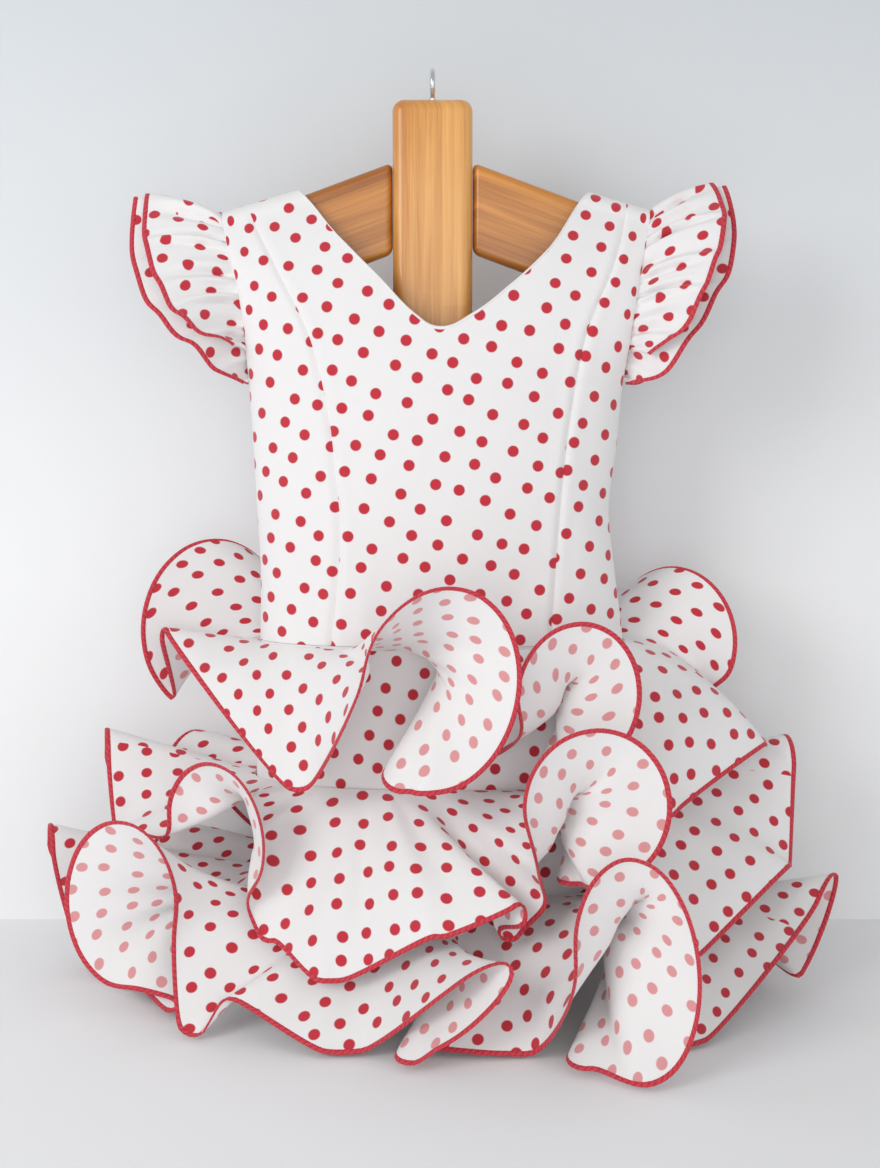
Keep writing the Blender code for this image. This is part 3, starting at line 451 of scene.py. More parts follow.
def grid_normals(grid, closed=False):
    """Normals of a grid of points; a closed grid ends on its own first line."""
    along = np.gradient(grid, axis=1)
    across = np.gradient(grid, axis=0)
    if closed:
        across[0] = across[-1] = (grid[1] - grid[-2]) / 2
    normal = np.cross(across, along)
    length = np.linalg.norm(normal, axis=2, keepdims=True)
    return normal / np.maximum(length, 1e-9)


def travelled(line):
    """Distance along a line of points, from its start."""
    return np.concatenate(((0.0,), np.cumsum(np.linalg.norm(np.diff(line, axis=0), axis=1))))


def inwards(edge, inner):
    """Ways from the points of an edge to those of the line inside it."""
    inward = inner - edge
    return inward / np.maximum(np.linalg.norm(inward, axis=1, keepdims=True), 1e-9)


def shoulder_z(x):
    """Height of the shoulder line above a place across the dress."""
    return SHOULDER_NECK_Z - (abs(x) - SHOULDER_NECK_X) * SHOULDER_SLOPE


def soft_min(a, b, power=6.0):
    """The smaller of two depths, with a rounded change between them."""
    a, b = max(a, 1e-3), max(b, 1e-3)
    return (a ** -power + b ** -power) ** (-1.0 / power)


def bodice_depth(x, z, face):
    """How far the bodice stands from the middle plane at a place on its front or back."""
    side = "left" if x < 0 else "right"
    reach = read(BODICE_SECTIONS, SECTION_COLUMNS, "z", z, side)
    full = read(BODICE_SECTIONS, SECTION_COLUMNS, "z", z, face)
    rise = min(max((z - ARMHOLE_FOOT_Z) / (ARMHOLE_TOP_Z - ARMHOLE_FOOT_Z), 0.0), 1.0)
    slot = ARMHOLE_HALF * math.sin(math.pi * min(rise * 1.4, 0.5)) if rise > 0 else 0.0
    share = min(abs(x) / reach, 1.0)
    body = slot + (full - slot) * (1.0 - share ** SIDE_ROUNDNESS) ** (1.0 / SIDE_ROUNDNESS)
    drop = max(shoulder_z(x) - z, 0.0)
    fold = min(drop, SHOULDER_ROUND)
    drape = math.sqrt(max(SHOULDER_ROUND ** 2 - (SHOULDER_ROUND - fold) ** 2, 0.0))
    drape += max(drop - SHOULDER_ROUND, 0.0) * DRAPE_SLOPE
    return soft_min(body, drape)


def top_line(x):
    """Height of the top edge: the V neck, then the shoulder line."""
    neck = rows_of(NECK_LINE, NECK_COLUMNS)
    if neck[0]["x"] < x < neck[-1]["x"]:
        return read(NECK_LINE, NECK_COLUMNS, "x", x, "z")
    return shoulder_z(x)


def skirt_point(heading, z, standoff=0.0):
    """A place on the skirt base, by heading from the front, and its way out."""
    a = math.radians(heading)
    side = "left" if math.sin(a) < 0 else "right"
    face = "front" if math.cos(a) > 0 else "back"
    wide = read(SKIRT_SECTIONS, SECTION_COLUMNS, "z", z, side)
    deep = read(SKIRT_SECTIONS, SECTION_COLUMNS, "z", z, face)
    power = 2.0 / SIDE_ROUNDNESS
    sx, cx = math.sin(a), math.cos(a)
    x = wide * math.copysign(abs(sx) ** power, sx)
    y = -deep * math.copysign(abs(cx) ** power, cx)
    out = np.array((x / wide ** 2, y / deep ** 2, 0.0))
    out /= np.linalg.norm(out)
    return np.array((x, y, z)) + out * standoff, out


def fold_arc(row):
    """Points along one fold of a tier's free edge."""
    face, tilt, lean = (math.radians(row[key]) for key in ("faces", "tilt", "lean"))
    out = np.array((math.sin(face), -math.cos(face), 0.0))
    right = np.array((math.cos(face), math.sin(face), 0.0))
    up = np.array((0.0, 0.0, 1.0)) * math.cos(tilt) + out * math.sin(tilt)
    across = right * math.cos(lean) - up * math.sin(lean)
    along = right * math.sin(lean) + up * math.cos(lean)
    centre = np.array((row["x"], -row["front"], row["z"]), float)
    steps = max(2, int(abs(row["sweep"]) / ARC_STEP))
    points = []
    for i in range(steps + 1):
        share = i / steps
        a = math.radians(row["begin"] + row["sweep"] * share)
        points.append(centre + across * row["wide"] * math.cos(a)
                      + along * row["tall"] * math.sin(a) + out * row["pull"] * (share - 0.5))
    return points


def smooth_loop(points, fine):
    """Closed centripetal curve through points, with a place number for each."""
    pts = np.array(points)
    count = len(pts)
    curve, places = [], []
    for i in range(count):
        p0, p1, p2, p3 = (pts[(i + k) % count] for k in (-1, 0, 1, 2))
        t1 = math.sqrt(np.linalg.norm(p1 - p0))
        t2 = t1 + math.sqrt(np.linalg.norm(p2 - p1))
        t3 = t2 + math.sqrt(np.linalg.norm(p3 - p2))
        for k in range(fine):
            t = t1 + (t2 - t1) * k / fine
            a1 = (t1 - t) / t1 * p0 + t / t1 * p1
            a2 = (t2 - t) / (t2 - t1) * p1 + (t - t1) / (t2 - t1) * p2
            a3 = (t3 - t) / (t3 - t2) * p2 + (t - t2) / (t3 - t2) * p3
            b1 = (t2 - t) / t2 * a1 + t / t2 * a2
            b2 = (t3 - t) / (t3 - t1) * a2 + (t - t1) / (t3 - t1) * a3
            curve.append((t2 - t) / (t2 - t1) * b1 + (t - t1) / (t2 - t1) * b2)
            places.append(i + k / fine)
    return np.array(curve), np.array(places)


def throat_place(point, centre, throat):
    """Where the cloth behind a place of a flute's edge passes through the flute's throat."""
    angle = math.radians(throat["angle"])
    along = np.array((math.cos(angle), 0.0, math.sin(angle)))
    across = np.array((-math.sin(angle), 0.0, math.cos(angle)))
    middle = np.array((throat["x"], -throat["front"], throat["z"]), float)
    reach = point - centre
    middle = middle + along * (reach @ along) * throat["along"]
    return middle + across * (reach @ across) * throat["across"]


def tier_edge(name, folds, anchors):
    """A tier's free edge with, for each of its points, its quarter angle on the seam.

    Also the place that its cloth is drawn in towards behind the edge, and how firmly: a
    flute narrows towards its own middle or through its throat, and the rest runs straight
    to the seam.
    """
    closed = {row["fold"]: row for row in rows_of(THROATS, THROAT_COLUMNS) if row["tier"] == name}
    points, middles, seam, throats = [], [], [], []
    for row in folds:
        arc = fold_arc(row)
        flute = row["sweep"] < -FLUTE_SWEEP and row["front"] > 0
        centre = np.array((row["x"], -row["front"], row["z"]), float)
        for point in arc:
            if row["fold"] in closed:
                throats.append((*throat_place(point, centre, closed[row["fold"]]), 1.0))
            else:
                throats.append((*(point + (centre - point) * (FLUTE_PINCH if flute else 0.0)), 0.0))
        if row["fold"] in anchors:
            middles.append(len(points) + (len(arc) - 1) / 2)
            seam.append(anchors[row["fold"]])
        points += arc
    curve, places = smooth_loop(points, EDGE_POINTS)
    drawn = np.stack([np.interp(places, range(len(points) + 1), column)
                      for column in np.array(throats + throats[:1]).T], axis=1)
    for _ in range(EDGE_SMOOTHING):
        curve = curve * 0.5 + (np.roll(curve, 1, axis=0) + np.roll(curve, -1, axis=0)) * 0.25
        drawn = drawn * 0.5 + (np.roll(drawn, 1, axis=0) + np.roll(drawn, -1, axis=0)) * 0.25
    curve[:, 2] = np.maximum(curve[:, 2], HEM_FLOOR)
    drawn[:, 2] = np.maximum(drawn[:, 2], HEM_FLOOR)
    drawn[:, 3] = drawn[:, 3] ** 2 * (3.0 - 2.0 * drawn[:, 3])
    step = np.linalg.norm(np.roll(curve, -1, axis=0) - curve, axis=1)
    travel = np.concatenate(((0.0,), np.cumsum(step)))
    marks = np.interp(middles, np.append(places, len(points)), travel)
    marks = np.concatenate((marks, (marks[0] + travel[-1],)))
    spots = travel[:-1] + np.where(travel[:-1] < marks[0], travel[-1], 0.0)
    heading = np.interp(spots, marks, seam + [seam[0] + 360.0])
    heading[travel[:-1] < marks[0]] -= 360.0
    return curve, heading, drawn


def seam_heading(angle, z):
    """Heading of a seam place, given by quarters of the seam that are even in length."""
    headings = np.linspace(-180.0, 180.0, 361)
    ring = np.array([skirt_point(h, z)[0] for h in headings])
    length = travelled(ring)
    wrapped = (angle + 180.0) % 360.0 - 180.0
    quarters = (-180.0, -90.0, 0.0, 90.0, 180.0)
    marks = np.interp(quarters, headings, length)
    return np.interp(np.interp(wrapped, quarters, marks), length, headings)


def refine(places, parts):
    """More places between those of a list, evenly."""
    index = np.linspace(0, len(places) - 1, (len(places) - 1) * parts + 1)
    return np.interp(index, range(len(places)), places)


def linear(red, green, blue):
    """A colour of a screen's 0 to 255 in Blender's linear light."""
    return tuple((c / 255.0 / 12.92) if c <= 10 else ((c / 255.0 + 0.055) / 1.055) ** 2.4
                 for c in (red, green, blue))


class DressCloth(bpy.types.PropertyGroup):
    """Cloth, dots and edging."""

    thickness: FloatProperty(name="Cloth thickness", description="Thickness of the dotted crepe",
                             default=0.0008, min=0.0003, max=0.002, unit="LENGTH", subtype="DISTANCE")
    dot_size: FloatProperty(name="Dot size", description="Diameter of a dot",
                            default=0.0076, min=0.002, max=0.03, unit="LENGTH", subtype="DISTANCE")
    dot_spacing: FloatProperty(name="Dot spacing", description="Mean distance from dot to dot",
                               default=0.0189, min=0.005, max=0.08, unit="LENGTH", subtype="DISTANCE")
    cloth_colour: FloatVectorProperty(name="Cloth", description="Ground colour of the cloth",
                                      default=linear(238, 236, 236), subtype="COLOR", min=0, max=1)
    dot_colour: FloatVectorProperty(name="Dots", description="Colour of the dots on the right side",
                                    default=linear(196, 30, 50), subtype="COLOR", min=0, max=1)
    pale_colour: FloatVectorProperty(name="Dots inside", description="Colour of the dots on the wrong side",
                                     default=linear(222, 150, 152), subtype="COLOR", min=0, max=1)
    thread_colour: FloatVectorProperty(name="Edging", description="Colour of the overlock thread",
                                       default=linear(224, 62, 78), subtype="COLOR", min=0, max=1)
    # The edging's shade is painted shade: the colour of the thread in the grooves between its stitches.
    thread_painted_shade: FloatVectorProperty(name="Edging shade", description="Colour between the stitches",
                                      default=linear(178, 36, 52), subtype="COLOR", min=0, max=1)


class DressHanger(bpy.types.PropertyGroup):
    """Colours of the hanger."""

    wood_light: FloatVectorProperty(name="Light beech", description="Light strips of the beech",
                                    default=linear(246, 186, 108), subtype="COLOR", min=0, max=1)
    wood_dark: FloatVectorProperty(name="Dark beech", description="Dark grain of the beech",
                                   default=linear(196, 124, 54), subtype="COLOR", min=0, max=1)
    arm_light: FloatVectorProperty(name="Light arm", description="Light strips of the arms' deeper beech",
                                   default=linear(224, 151, 68), subtype="COLOR", min=0, max=1)
    arm_dark: FloatVectorProperty(name="Dark arm", description="Dark grain of the arms' deeper beech",
                                  default=linear(160, 94, 32), subtype="COLOR", min=0, max=1)
    wire_colour: FloatVectorProperty(name="Wire", description="Bright wire of the hook",
                                     default=linear(225, 226, 230), subtype="COLOR", min=0, max=1)


class DressStage(bpy.types.PropertyGroup):
    """Light and backdrop."""

    wall_distance: FloatProperty(name="Wall", description="How far behind the hook the wall stands",
                                 default=0.110, min=0.1, max=1.0, unit="LENGTH", subtype="DISTANCE")
    key_power: FloatProperty(name="Key light", description="Power of the soft key light, in watts",
                             default=10.2, min=0, max=500, unit="POWER")
    fill_power: FloatProperty(name="Fill light", description="Power of the soft fill light, in watts",
                              default=3.6, min=0, max=500, unit="POWER")
    front_power: FloatProperty(name="Front light", description="Power of the soft front light, in watts",
                               default=4.2, min=0, max=500, unit="POWER")
    daylight: FloatProperty(name="Daylight", description="Strength of the even light all round",
                            default=0.50, min=0, max=5)
    wall_colour: FloatVectorProperty(name="Backdrop", description="Colour of the floor and the lower wall",
                                     default=linear(247, 248, 249), subtype="COLOR", min=0, max=1)
    # The upper wall's colour is painted shade: the wall darkens towards it upwards.
    upper_wall_painted_shade: FloatVectorProperty(name="Upper wall", description="Colour of the wall at its top",
                                      default=linear(214, 219, 223), subtype="COLOR", min=0, max=1)


class DressSettings(bpy.types.PropertyGroup):
    """All the settings of the dress."""

    cloth: PointerProperty(type=DressCloth)
    hanger: PointerProperty(type=DressHanger)
    stage: PointerProperty(type=DressStage)


class Wire:
    """A shader socket that adds Math nodes when it is used in an expression."""

    def __init__(self, finish, socket):
        self.finish = finish
        self.socket = socket

    def sum(self, operation, first, second):
        """One Math node."""
        return self.finish.node("ShaderNodeMath", {"operation": operation}, {0: first, 1: second})

    def __add__(self, other):
        return self.sum("ADD", self, other)

    def __radd__(self, other):
        return self.sum("ADD", other, self)

    def __sub__(self, other):
        return self.sum("SUBTRACT", self, other)

    def __rsub__(self, other):
        return self.sum("SUBTRACT", other, self)

    def __mul__(self, other):
        return self.sum("MULTIPLY", self, other)

    def __rmul__(self, other):
        return self.sum("MULTIPLY", other, self)


class Finish:
    """A material built up from nodes."""

    def __init__(self, name, roughness, **constants):
        self.material = bpy.data.materials.new(name)
        self.material.use_nodes = True
        self.tree = self.material.node_tree
        self.shader = self.tree.nodes["Principled BSDF"]
        self.put("Roughness", roughness)
        for socket, value in constants.items():
            self.put(socket.replace("_", " "), value)

    def put(self, socket, value):
        """Set or link one of the shader's sockets."""
        self.fill(self.shader, socket, value)

    def fill(self, node, socket, value):
        """Set or link a node's socket."""
        if isinstance(value, Wire):
            self.tree.links.new(value.socket, node.inputs[socket])
        else:
            node.inputs[socket].default_value = value

    def node(self, kind, settings, sockets, output=0):
        """Any node, from its type, its settings and its sockets."""
        node = self.tree.nodes.new(kind)
        for key, value in settings.items():
            setattr(node, key, value)
        for socket, value in sockets.items():
            self.fill(node, socket, value)
        return Wire(self, node.outputs[output])

    def clamp(self, value):
        """A value kept between 0 and 1."""
        return self.node("ShaderNodeClamp", {}, {"Value": value})

    def blend(self, factor, first, second):
        """A colour between two others."""
        return self.node("ShaderNodeMix", {"data_type": "RGBA"}, {0: factor, 6: first, 7: second}, 2)

    def bump(self, height, distance, strength):
        """Relief fed to the shader's normal."""
        sockets = {"Height": height, "Distance": distance, "Strength": strength}
        self.put("Normal", self.node("ShaderNodeBump", {}, sockets))


def settings():
    """The scene's settings of the dress."""
    return bpy.context.scene.flamenco_dress


def opaque(colour):
    """A property's colour with full alpha."""
    return (*colour, 1.0)


def once(build):
    """Keep a finish by its name, so pieces share it."""
    kept = {}

    def get(*key):
        if key not in kept:
            kept[key] = build(*key)
        return kept[key]
    return get


@once
def dotted_cloth(dots=True):
    """White crepe with red dots, pale where its wrong side shows."""
    cloth = settings().cloth
    finish = Finish("dotted_crepe" if dots else "plain_crepe", 0.82, Sheen_Weight=0.25, Sheen_Roughness=0.6)
    flat = finish.node("ShaderNodeUVMap", {"uv_map": "Cut"}, {})
    ground = opaque(cloth.cloth_colour)
    if dots:
        turned = finish.node("ShaderNodeMapping", {}, {
            "Vector": flat, "Rotation": (0.0, 0.0, DOT_TURN), "Scale": (1.0 / cloth.dot_spacing,) * 3})
        cells = finish.node("ShaderNodeTexVoronoi", {"voronoi_dimensions": "2D"}, {
            "Vector": turned, "Scale": 1.0, "Randomness": DOT_UNEVENNESS})
        radius = cloth.dot_size / 2 / cloth.dot_spacing
        dot = finish.clamp((radius - cells) * DOT_SHARPNESS + 0.5)
        wrong = finish.node("ShaderNodeAttribute", {"attribute_name": "wrong_side"}, {}, 2)
        inside = finish.clamp(wrong * 40.0 - 20.0)
        ink = finish.blend(inside, opaque(cloth.dot_colour), opaque(cloth.pale_colour))
        finish.put("Base Color", finish.blend(dot, ground, ink))
    else:
        finish.put("Base Color", ground)
    crepe = finish.node("ShaderNodeTexNoise", {"noise_dimensions": "2D"}, {
        "Vector": flat, "Scale": 900.0, "Detail": 2.0, "Roughness": 0.6})
    finish.bump(crepe, 0.0003, 0.35)
    return finish.material


@once
def overlock_thread():
    """Red overlock thread, darkened between its stitches by painted shade in the grooves, and mottled by its
    own twist.
    """
    cloth = settings().cloth
    finish = Finish("overlock_thread", 0.7, Sheen_Weight=0.2)
    flat = finish.node("ShaderNodeUVMap", {"uv_map": "Cut"}, {})
    twist = finish.node("ShaderNodeTexNoise", {"noise_dimensions": "2D"}, {
        "Vector": flat, "Scale": 700.0, "Detail": 2.0, "Roughness": 0.6})
    slant = finish.node("ShaderNodeTexWave", {"wave_type": "BANDS", "bands_direction": "DIAGONAL"}, {
        "Vector": flat, "Scale": STITCH_SCALE, "Distortion": 1.5, "Detail": 1.0, "Detail Scale": 2.0}, 1)
    # Painted shade between the stitches from the slanted bands, mixed with a noise of the thread's own twist.
    shade = finish.clamp(twist * 1.6 + slant * 0.7 - 0.75)
    finish.put("Base Color", finish.blend(shade, opaque(cloth.thread_painted_shade), opaque(cloth.thread_colour)))
    finish.bump(twist, 0.0004, 0.5)
    return finish.material


@once
def beech(deep):
    """Varnished beech in glued strips, with its grain along each board; deeper on the arms."""
    hanger = settings().hanger
    finish = Finish("deep_beech" if deep else "varnished_beech", 0.36, Coat_Weight=0.4, Coat_Roughness=0.15)
    light, dark = hanger.wood_light, hanger.wood_dark
    if deep:
        light, dark = hanger.arm_light, hanger.arm_dark
    flat = finish.node("ShaderNodeUVMap", {"uv_map": "Cut"}, {})
    across = finish.node("ShaderNodeMapping", {}, {"Vector": flat, "Scale": (54.0, 2.6, 1.0)})
    strip = finish.node("ShaderNodeTexVoronoi", {"voronoi_dimensions": "2D", "distance": "CHEBYCHEV"}, {
        "Vector": across, "Scale": 1.0, "Randomness": 0.22}, 1)
    tone = finish.node("ShaderNodeSeparateColor", {}, {"Color": strip})
    fine = finish.node("ShaderNodeMapping", {}, {"Vector": flat, "Scale": (520.0, 9.0, 1.0)})
    grain = finish.node("ShaderNodeTexNoise", {"noise_dimensions": "2D"}, {
        "Vector": fine, "Scale": 1.0, "Detail": 5.0, "Roughness": 0.65, "Distortion": 0.5})
    broad = finish.node("ShaderNodeMapping", {}, {"Vector": flat, "Scale": (110.0, 4.0, 1.0)})
    figure = finish.node("ShaderNodeTexNoise", {"noise_dimensions": "2D"}, {
        "Vector": broad, "Scale": 1.0, "Detail": 3.0, "Roughness": 0.5, "Distortion": 1.2})
    mix = finish.clamp(tone * 0.55 + grain * 0.9 + figure * 1.1 - 0.85)
    finish.put("Base Color", finish.blend(mix, opaque(dark), opaque(light)))
    finish.put("Roughness", 0.42 - grain * 0.16)
    finish.bump(grain, 0.0002, 0.3)
    return finish.material


@once
def bright_wire():
    """Bright plated wire."""
    finish = Finish("bright_wire", 0.18, Metallic=1.0)
    finish.put("Base Color", opaque(settings().hanger.wire_colour))
    return finish.material


@once
def backdrop():
    """Pale backdrop, darkened upwards by painted shade, that shows from its front alone, so the dress is seen
    from behind.
    """
    finish = Finish("pale_backdrop", 0.9)
    stage = settings().stage
    place = finish.node("ShaderNodeNewGeometry", {}, {}, "Position")
    height = finish.node("ShaderNodeSeparateXYZ", {}, {"Vector": place}, "Z")
    # Painted shade: the wall darkens upwards from its lower colour to its upper one.
    fade = finish.clamp((height - PAINTED_SHADE_START) * (1.0 / PAINTED_SHADE_FADE))
    finish.put("Base Color", finish.blend(fade, opaque(stage.wall_colour), opaque(stage.upper_wall_painted_shade)))
    behind = finish.node("ShaderNodeNewGeometry", {}, {}, "Backfacing")
    clear = finish.node("ShaderNodeBsdfTransparent", {}, {})
    front = Wire(finish, finish.shader.outputs["BSDF"])
    shown = finish.node("ShaderNodeMixShader", {}, {0: behind, 1: front, 2: clear})
    finish.fill(finish.tree.nodes["Material Output"], "Surface", shown)
    return finish.material


def face_out(mesh):
    """Turn a closed mesh's faces outwards."""
    bm = bmesh.new()
    bm.from_mesh(mesh)
    bmesh.ops.recalc_face_normals(bm, faces=bm.faces[:])
    bm.to_mesh(mesh)
    bm.free()


def add_mesh(name, points, faces, cut, finish, wrong=None):
    """Make a piece from its points in metres, its faces and its flat coordinates."""
    mesh = bpy.data.meshes.new(name)
    mesh.from_pydata([tuple(p) for p in points], [], faces)
    layer = mesh.uv_layers.new(name="Cut")
    corner = np.zeros(len(mesh.loops), dtype=np.int32)
    mesh.loops.foreach_get("vertex_index", corner)
    layer.data.foreach_set("uv", np.asarray(cut, dtype=np.float32)[corner].ravel())
    if wrong is not None:
        side = mesh.attributes.new("wrong_side", "FLOAT", "POINT")
        side.data.foreach_set("value", np.asarray(wrong, dtype=np.float32))
    mesh.materials.append(finish)
    face_out(mesh)
    mesh.shade_smooth()
    mesh.set_sharp_from_angle(angle=math.radians(SHARP_DEG))
    obj = bpy.data.objects.new(name, mesh)
    bpy.context.scene.collection.objects.link(obj)
    return obj


def wear(obj, slot, *nodes):
    """Put a piece on the dress's body in place of its plain solids."""
    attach(obj, "root")
    if nodes:
        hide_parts(*nodes)
    return obj


def to_frame(points):
    """Millimetres from the hem to metres from the hook's rest, for a whole array."""
    return (points - np.array((POST_X, 0.0, HOOK_REST))) / 1000.0


def shell(name, grid, cut, finish, slot, normal=None):
    """Closed thin cloth from a grid of points and their flat coordinates."""
    if normal is None:
        normal = grid_normals(grid)
    half = settings().cloth.thickness * 1000.0 / 2
    rows, cols = grid.shape[:2]
    points = np.concatenate(((grid + normal * half).reshape(-1, 3), (grid - normal * half).reshape(-1, 3)))
    number = np.arange(rows * cols).reshape(rows, cols)
    corners = (number[:-1, :-1], number[1:, :-1], number[1:, 1:], number[:-1, 1:])
    quads = np.stack(corners, axis=-1).reshape(-1, 4)
    rim = np.concatenate((number[0, :], number[1:, -1], number[-1, -2::-1], number[-2:0:-1, 0]))
    ahead = np.roll(rim, -1)
    under = rows * cols
    edge = np.stack((rim, ahead, ahead + under, rim + under), axis=-1)
    faces = np.concatenate((quads, quads[:, ::-1] + under, edge)).tolist()
    flat = np.concatenate((cut.reshape(-1, 2), cut.reshape(-1, 2))) / 1000.0
    wrong = np.repeat((0.0, 1.0), under)
    obj = add_mesh(name + "_cloth", to_frame(points), faces, flat, finish, wrong)
    return wear(obj, slot, name)


def roll(name, line, inward, across, half_width, half_depth, step, finish, slot, ridges=1.0):
    """A soft flat roll along a line, as an overlocked or a turned edge."""
    travel = travelled(line)
    count = max(int(travel[-1] / step), 2)
    stations = np.linspace(0.0, travel[-1], count + 1)
    spot, into, over = (np.stack([np.interp(stations, travel, part[:, k]) for k in range(3)], axis=1)
                        for part in (line, inward, across))
    swell = np.where(np.arange(count + 1) % 2 == 0, 1.0, ridges)[:, None]
    centre = spot + into * half_width * 0.7
    points, cut = [], []
    for side in range(EDGING_SIDES):
        a = 2.0 * math.pi * side / EDGING_SIDES
        ring = into * half_width * math.cos(a) * (0.5 + 0.5 * swell) + over * half_depth * math.sin(a) * swell
        points.append(centre + ring)
        cut.append(np.stack((stations, np.full(count + 1, side * 1.2)), axis=1))
    number = np.arange(EDGING_SIDES * (count + 1)).reshape(EDGING_SIDES, count + 1)
    faces = []
    for side in range(EDGING_SIDES):
        here, there = number[side], number[(side + 1) % EDGING_SIDES]
        faces += np.stack((here[:-1], here[1:], there[1:], there[:-1]), axis=-1).tolist()
    faces += [number[:, 0].tolist(), number[::-1, -1].tolist()]
    obj = add_mesh(name, to_frame(np.concatenate(points)), faces, np.concatenate(cut) / 1000.0, finish)
    return wear(obj, slot)


def overlock(name, edge, inner, normal):
    """Red overlocked edging along a ruffle's free edge."""
    return roll(name, edge, inwards(edge, inner), normal, EDGING_HALF_WIDTH, EDGING_HALF_DEPTH, EDGING_STEP,
                overlock_thread(), "ruffle_cloth", EDGING_LOW)


def bodice_crease(x, z, face):
    """How far a soft crease pushes the bodice out at a place."""
    total = 0.0
    for row in rows_of(BODICE_CREASES, CREASE_COLUMNS):
        if row["face"] != face:
            continue
        slant = math.radians(row["slant"])
        dx, dz = x - row["x"], z - row["z"]
        along = dx * math.sin(slant) + dz * math.cos(slant)
        off = dx * math.cos(slant) - dz * math.sin(slant)
        if abs(along) < row["length"] / 2:
            end = math.cos(math.pi * along / row["length"]) ** 2
            total += row["depth"] * end * math.exp(-(off / row["width"]) ** 2)
    return total


def bodice_grid(face, left_line, right_line, shares, grooves):
    """Points of a bodice panel between two lines, from its top edge to the waist seam."""
    sign = -1.0 if face == "front" else 1.0
    foot = BODICE_SECTIONS[0][0]
    drops = refine((*PANEL_DROPS, PANEL_HEIGHT), FINE_PANEL)
    grid = []
    for share in shares:
        low, high = foot, SHOULDER_NECK_Z
        for _ in range(BISECTIONS):
            z = (low + high) / 2
            x = left_line(z) + (right_line(z) - left_line(z)) * share
            if z < top_line(x):
                low = z
            else:
                high = z
        column = []
        for drop in drops:
            z = low - drop * (low - foot) / PANEL_HEIGHT
            left, right = left_line(z), right_line(z)
            x = left + (right - left) * share
            depth = max(bodice_depth(x, z, face), 0.0)
            fade = min(depth / CREASE_FADE, 1.0) * min(drop / CREASE_FADE, 1.0)
            depth += bodice_crease(x, z, face) * fade
            for groove, seam in zip(grooves, (left, right)):
                if groove:
                    off = abs(x - seam)
                    depth -= SEAM_GROOVE * math.exp(-(off / SEAM_GROOVE_WIDTH) ** 2) * fade
                    depth += SEAM_RIDGE * math.exp(-((off - SEAM_RIDGE_PLACE) / SEAM_RIDGE_PLACE) ** 2) * fade
            column.append((x, sign * depth, z))
        grid.append(column)
    return np.array(grid)


def section_travel():
    """Distance round half a section from its middle, by share of its width."""
    share = np.linspace(0.0, 1.0, 400)
    deep = CUT_DEPTH * (1.0 - share ** SIDE_ROUNDNESS) ** (1.0 / SIDE_ROUNDNESS)
    step = np.hypot(np.diff(share * CUT_WIDTH), np.diff(deep))
    return share, np.concatenate(((0.0,), np.cumsum(step)))


def shoulder_travel(drop):
    """Distance down the cloth from the shoulder line, by how far below it a place is."""
    fold = min(max(drop, 0.0), SHOULDER_ROUND)
    bend = SHOULDER_ROUND * math.acos(1.0 - fold / SHOULDER_ROUND)
    return bend + max(drop - SHOULDER_ROUND, 0.0) * math.hypot(1.0, DRAPE_SLOPE)


def panel_cut(grid, shift):
    """Flat coordinates of a bodice panel: across it and up it."""
    share, travel = section_travel()
    cut = np.zeros((*grid.shape[:2], 2))
    for place in np.ndindex(grid.shape[:2]):
        x, _, z = grid[place]
        reach = read(BODICE_SECTIONS, SECTION_COLUMNS, "z", z, "left" if x < 0 else "right")
        across = math.copysign(np.interp(abs(x) / reach, share, travel) * reach / CUT_WIDTH, x)
        drop = shoulder_z(x) - z
        up = z
        if drop < DRAPE_DROP:
            up = shoulder_z(x) - DRAPE_DROP + shoulder_travel(DRAPE_DROP) - shoulder_travel(drop)
        cut[place] = across + shift, up
    return cut


def side_line(side, sign):
    """Side seam, then the armhole's edge, up one side of the bodice."""
    def line(z):
        return sign * read(BODICE_SECTIONS, SECTION_COLUMNS, "z", z, side)
    return line


def princess_line(side, sign):
    """Princess seam of the front."""
    def line(z):
        return sign * read(PRINCESS_SEAMS, PRINCESS_COLUMNS, "z", z, side)
    return line


def straight_line(_):
    """Centre-back seam."""
    return 0.0


def declare(obj):
    """Match the piece's name against each row of the flat cuts, without keeping the result."""
    for row in rows_of(CUTS, CUT_COLUMNS):
        row["piece"] + "_cloth" == obj.name


def neck_roll(name, grid):
    """Turned edge along the V neck of a panel."""
    edge, inner = grid[:, 0], grid[:, 3]
    inside = [i for i, point in enumerate(edge) if NECK_LINE[0][0] - 1 < point[0] < NECK_LINE[-1][0] + 1]
    edge, inner = edge[inside], inner[inside]
    normal = grid_normals(grid)[:, 1][inside]
    return roll(name, edge, inwards(edge, inner), normal, NECK_HALF_WIDTH, NECK_HALF_DEPTH, NECK_STEP,
                dotted_cloth(False), "dotted_cloth")


